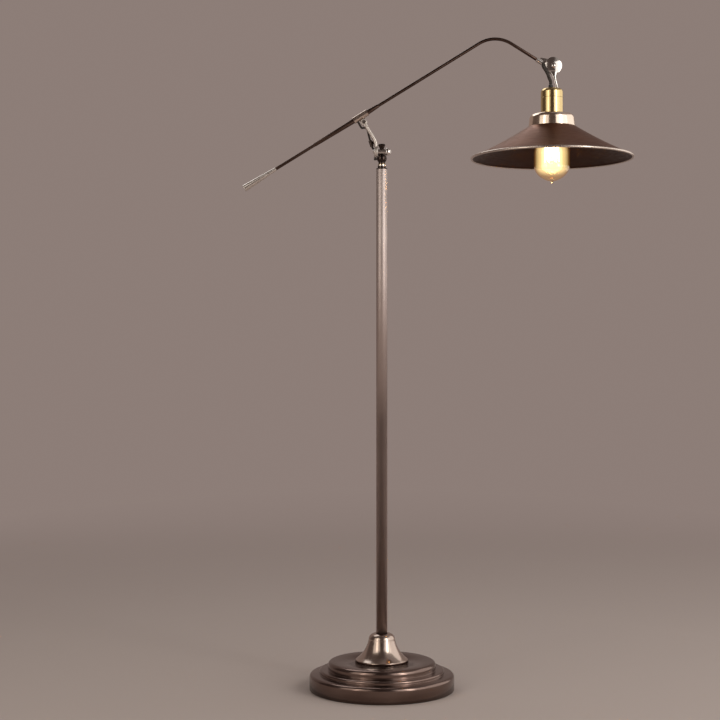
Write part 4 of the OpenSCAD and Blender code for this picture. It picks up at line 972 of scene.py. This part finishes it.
FLOOR_NEAR, FLOOR_FAR = (0.55, 0.475, 0.44), (0.265, 0.207, 0.186)
floor_material, floor_tree, floor_shader = blank("floor")
floor_shader.inputs["Base Color"].default_value = (*FLOOR_NEAR, 1)
floor_shader.inputs["Roughness"].default_value = 0.85
backdrop = floor_tree.nodes.new("ShaderNodeEmission")
backdrop.inputs["Color"].default_value = (*FLOOR_FAR, 1)
reach = floor_tree.nodes.new("ShaderNodeVectorMath")
reach.operation = "LENGTH"
floor_tree.links.new(floor_tree.nodes.new("ShaderNodeTexCoord").outputs["Object"], reach.inputs[0])
away = ranged(floor_tree.nodes, floor_tree.links, reach.outputs["Value"], 0.9, 3.2, 0, 1)
rays = floor_tree.nodes.new("ShaderNodeLightPath").outputs
seen = rays["Is Camera Ray"]
for operation, other in (("MAXIMUM", rays["Is Glossy Ray"]), ("MAXIMUM", rays["Is Transmission Ray"]),
                         ("MULTIPLY", away)):
    seen = combined(floor_tree.nodes, floor_tree.links, operation, seen, other)
blend = floor_tree.nodes.new("ShaderNodeMixShader")
floor_tree.links.new(seen, blend.inputs["Fac"])
floor_tree.links.new(floor_shader.outputs["BSDF"], blend.inputs[1])
floor_tree.links.new(backdrop.outputs["Emission"], blend.inputs[2])
floor_tree.links.new(blend.outputs["Shader"], floor_tree.nodes["Material Output"].inputs["Surface"])
stage_mesh.materials.append(floor_material)

# %% Lights
AIM, LIGHT_DISTANCE = np.array([0.08, 0.0, 0.70]), 2.6
WARM, WARMER, STRIP = (1.0, 0.97, 0.93), (1.0, 0.93, 0.84), (1.0, 0.96, 0.90)
IN_FRONT = 0.97


def facing_light(name, azimuth, elevation, half_width, half_height, radiance, colour=(1, 1, 1), near=1.0):
    """Area light that fills a patch of the surroundings, as half angles in degrees. Azimuth 0 is
    the camera's side, 90 is +X. A lamp of radiance L and area A gives pi * L * A watts, and its
    side is 2 * distance * tan(half the angle)."""
    a, e = math.radians(azimuth), math.radians(elevation)
    way = np.array([math.sin(a) * math.cos(e), -math.cos(a) * math.cos(e), math.sin(e)])
    data = bpy.data.lights.new(name, "AREA")
    data.shape = "RECTANGLE"
    data.size = 2 * LIGHT_DISTANCE * math.tan(math.radians(half_width))
    data.size_y = 2 * LIGHT_DISTANCE * math.tan(math.radians(half_height))
    data.energy = math.pi * radiance * data.size * data.size_y
    data.color = colour
    obj = bpy.data.objects.new(name, data)
    scene.collection.objects.link(obj)
    obj.location = (AIM + way * LIGHT_DISTANCE) * near
    obj.rotation_euler = Vector(way).to_track_quat("Z", "Y").to_euler()


facing_light("right_light", 47, 12, 26, 26, 1.1, WARM)
facing_light("side_light", 104, 12, 30, 26, 0.8, WARM)
facing_light("left_light", -45, 12, 24, 26, 0.85, WARMER)
facing_light("right_strip", 44, 10, 5, 26, 4.5, STRIP, IN_FRONT)
facing_light("left_strip", -42, 10, 4, 26, 2.2, WARMER, IN_FRONT)
facing_light("top_light", -148, 50, 22, 12, 1.5)
bulb_light = bpy.data.lights.new("bulb_light", "POINT")
bulb_light.energy = 2.2
bulb_light.color = (1.0, 0.66, 0.34)
bulb_light.shadow_soft_size = 0.012
glow = bpy.data.objects.new("bulb_light", bulb_light)
scene.collection.objects.link(glow)
glow.visible_glossy = False
glow.location = (HEAD_X, 0, (neck_z - CAGE_LOW + CAGE_H / 2) * MM)
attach(glow, "head")

# %% World
world = bpy.data.worlds.new("world")
scene.world = world
world.use_nodes = True
sky_nodes, sky_links = world.node_tree.nodes, world.node_tree.links
apart = sky_nodes.new("ShaderNodeSeparateXYZ")
sky_links.new(sky_nodes.new("ShaderNodeTexCoord").outputs["Generated"], apart.inputs["Vector"])
sideways = sky_nodes.new("ShaderNodeMath")
sideways.operation = "ABSOLUTE"
sky_links.new(apart.outputs["X"], sideways.inputs[0])
aside = ranged(sky_nodes, sky_links, sideways.outputs[0], 0.18, 0.36, 0, 1)
beyond = ranged(sky_nodes, sky_links, apart.outputs["Y"], -0.4, 0.1, 0, 1)
open_sky = combined(sky_nodes, sky_links, "MAXIMUM", aside, beyond)
rightward = ranged(sky_nodes, sky_links, apart.outputs["X"], -0.15, 0.15, 0, 1)
DARK_SKY, LEFT_SKY, RIGHT_SKY = (0.07, 0.052, 0.046), (0.10, 0.075, 0.066), (0.30, 0.265, 0.25)
around_sky = tint(world.node_tree, rightward, LEFT_SKY, RIGHT_SKY)
sky = tint(world.node_tree, open_sky, DARK_SKY, around_sky)
seen_directly = sky_nodes.new("ShaderNodeLightPath").outputs["Is Camera Ray"]
sky_links.new(tint(world.node_tree, seen_directly, sky, FLOOR_FAR), sky_nodes["Background"].inputs["Color"])
scene.view_settings.view_transform = "Standard"
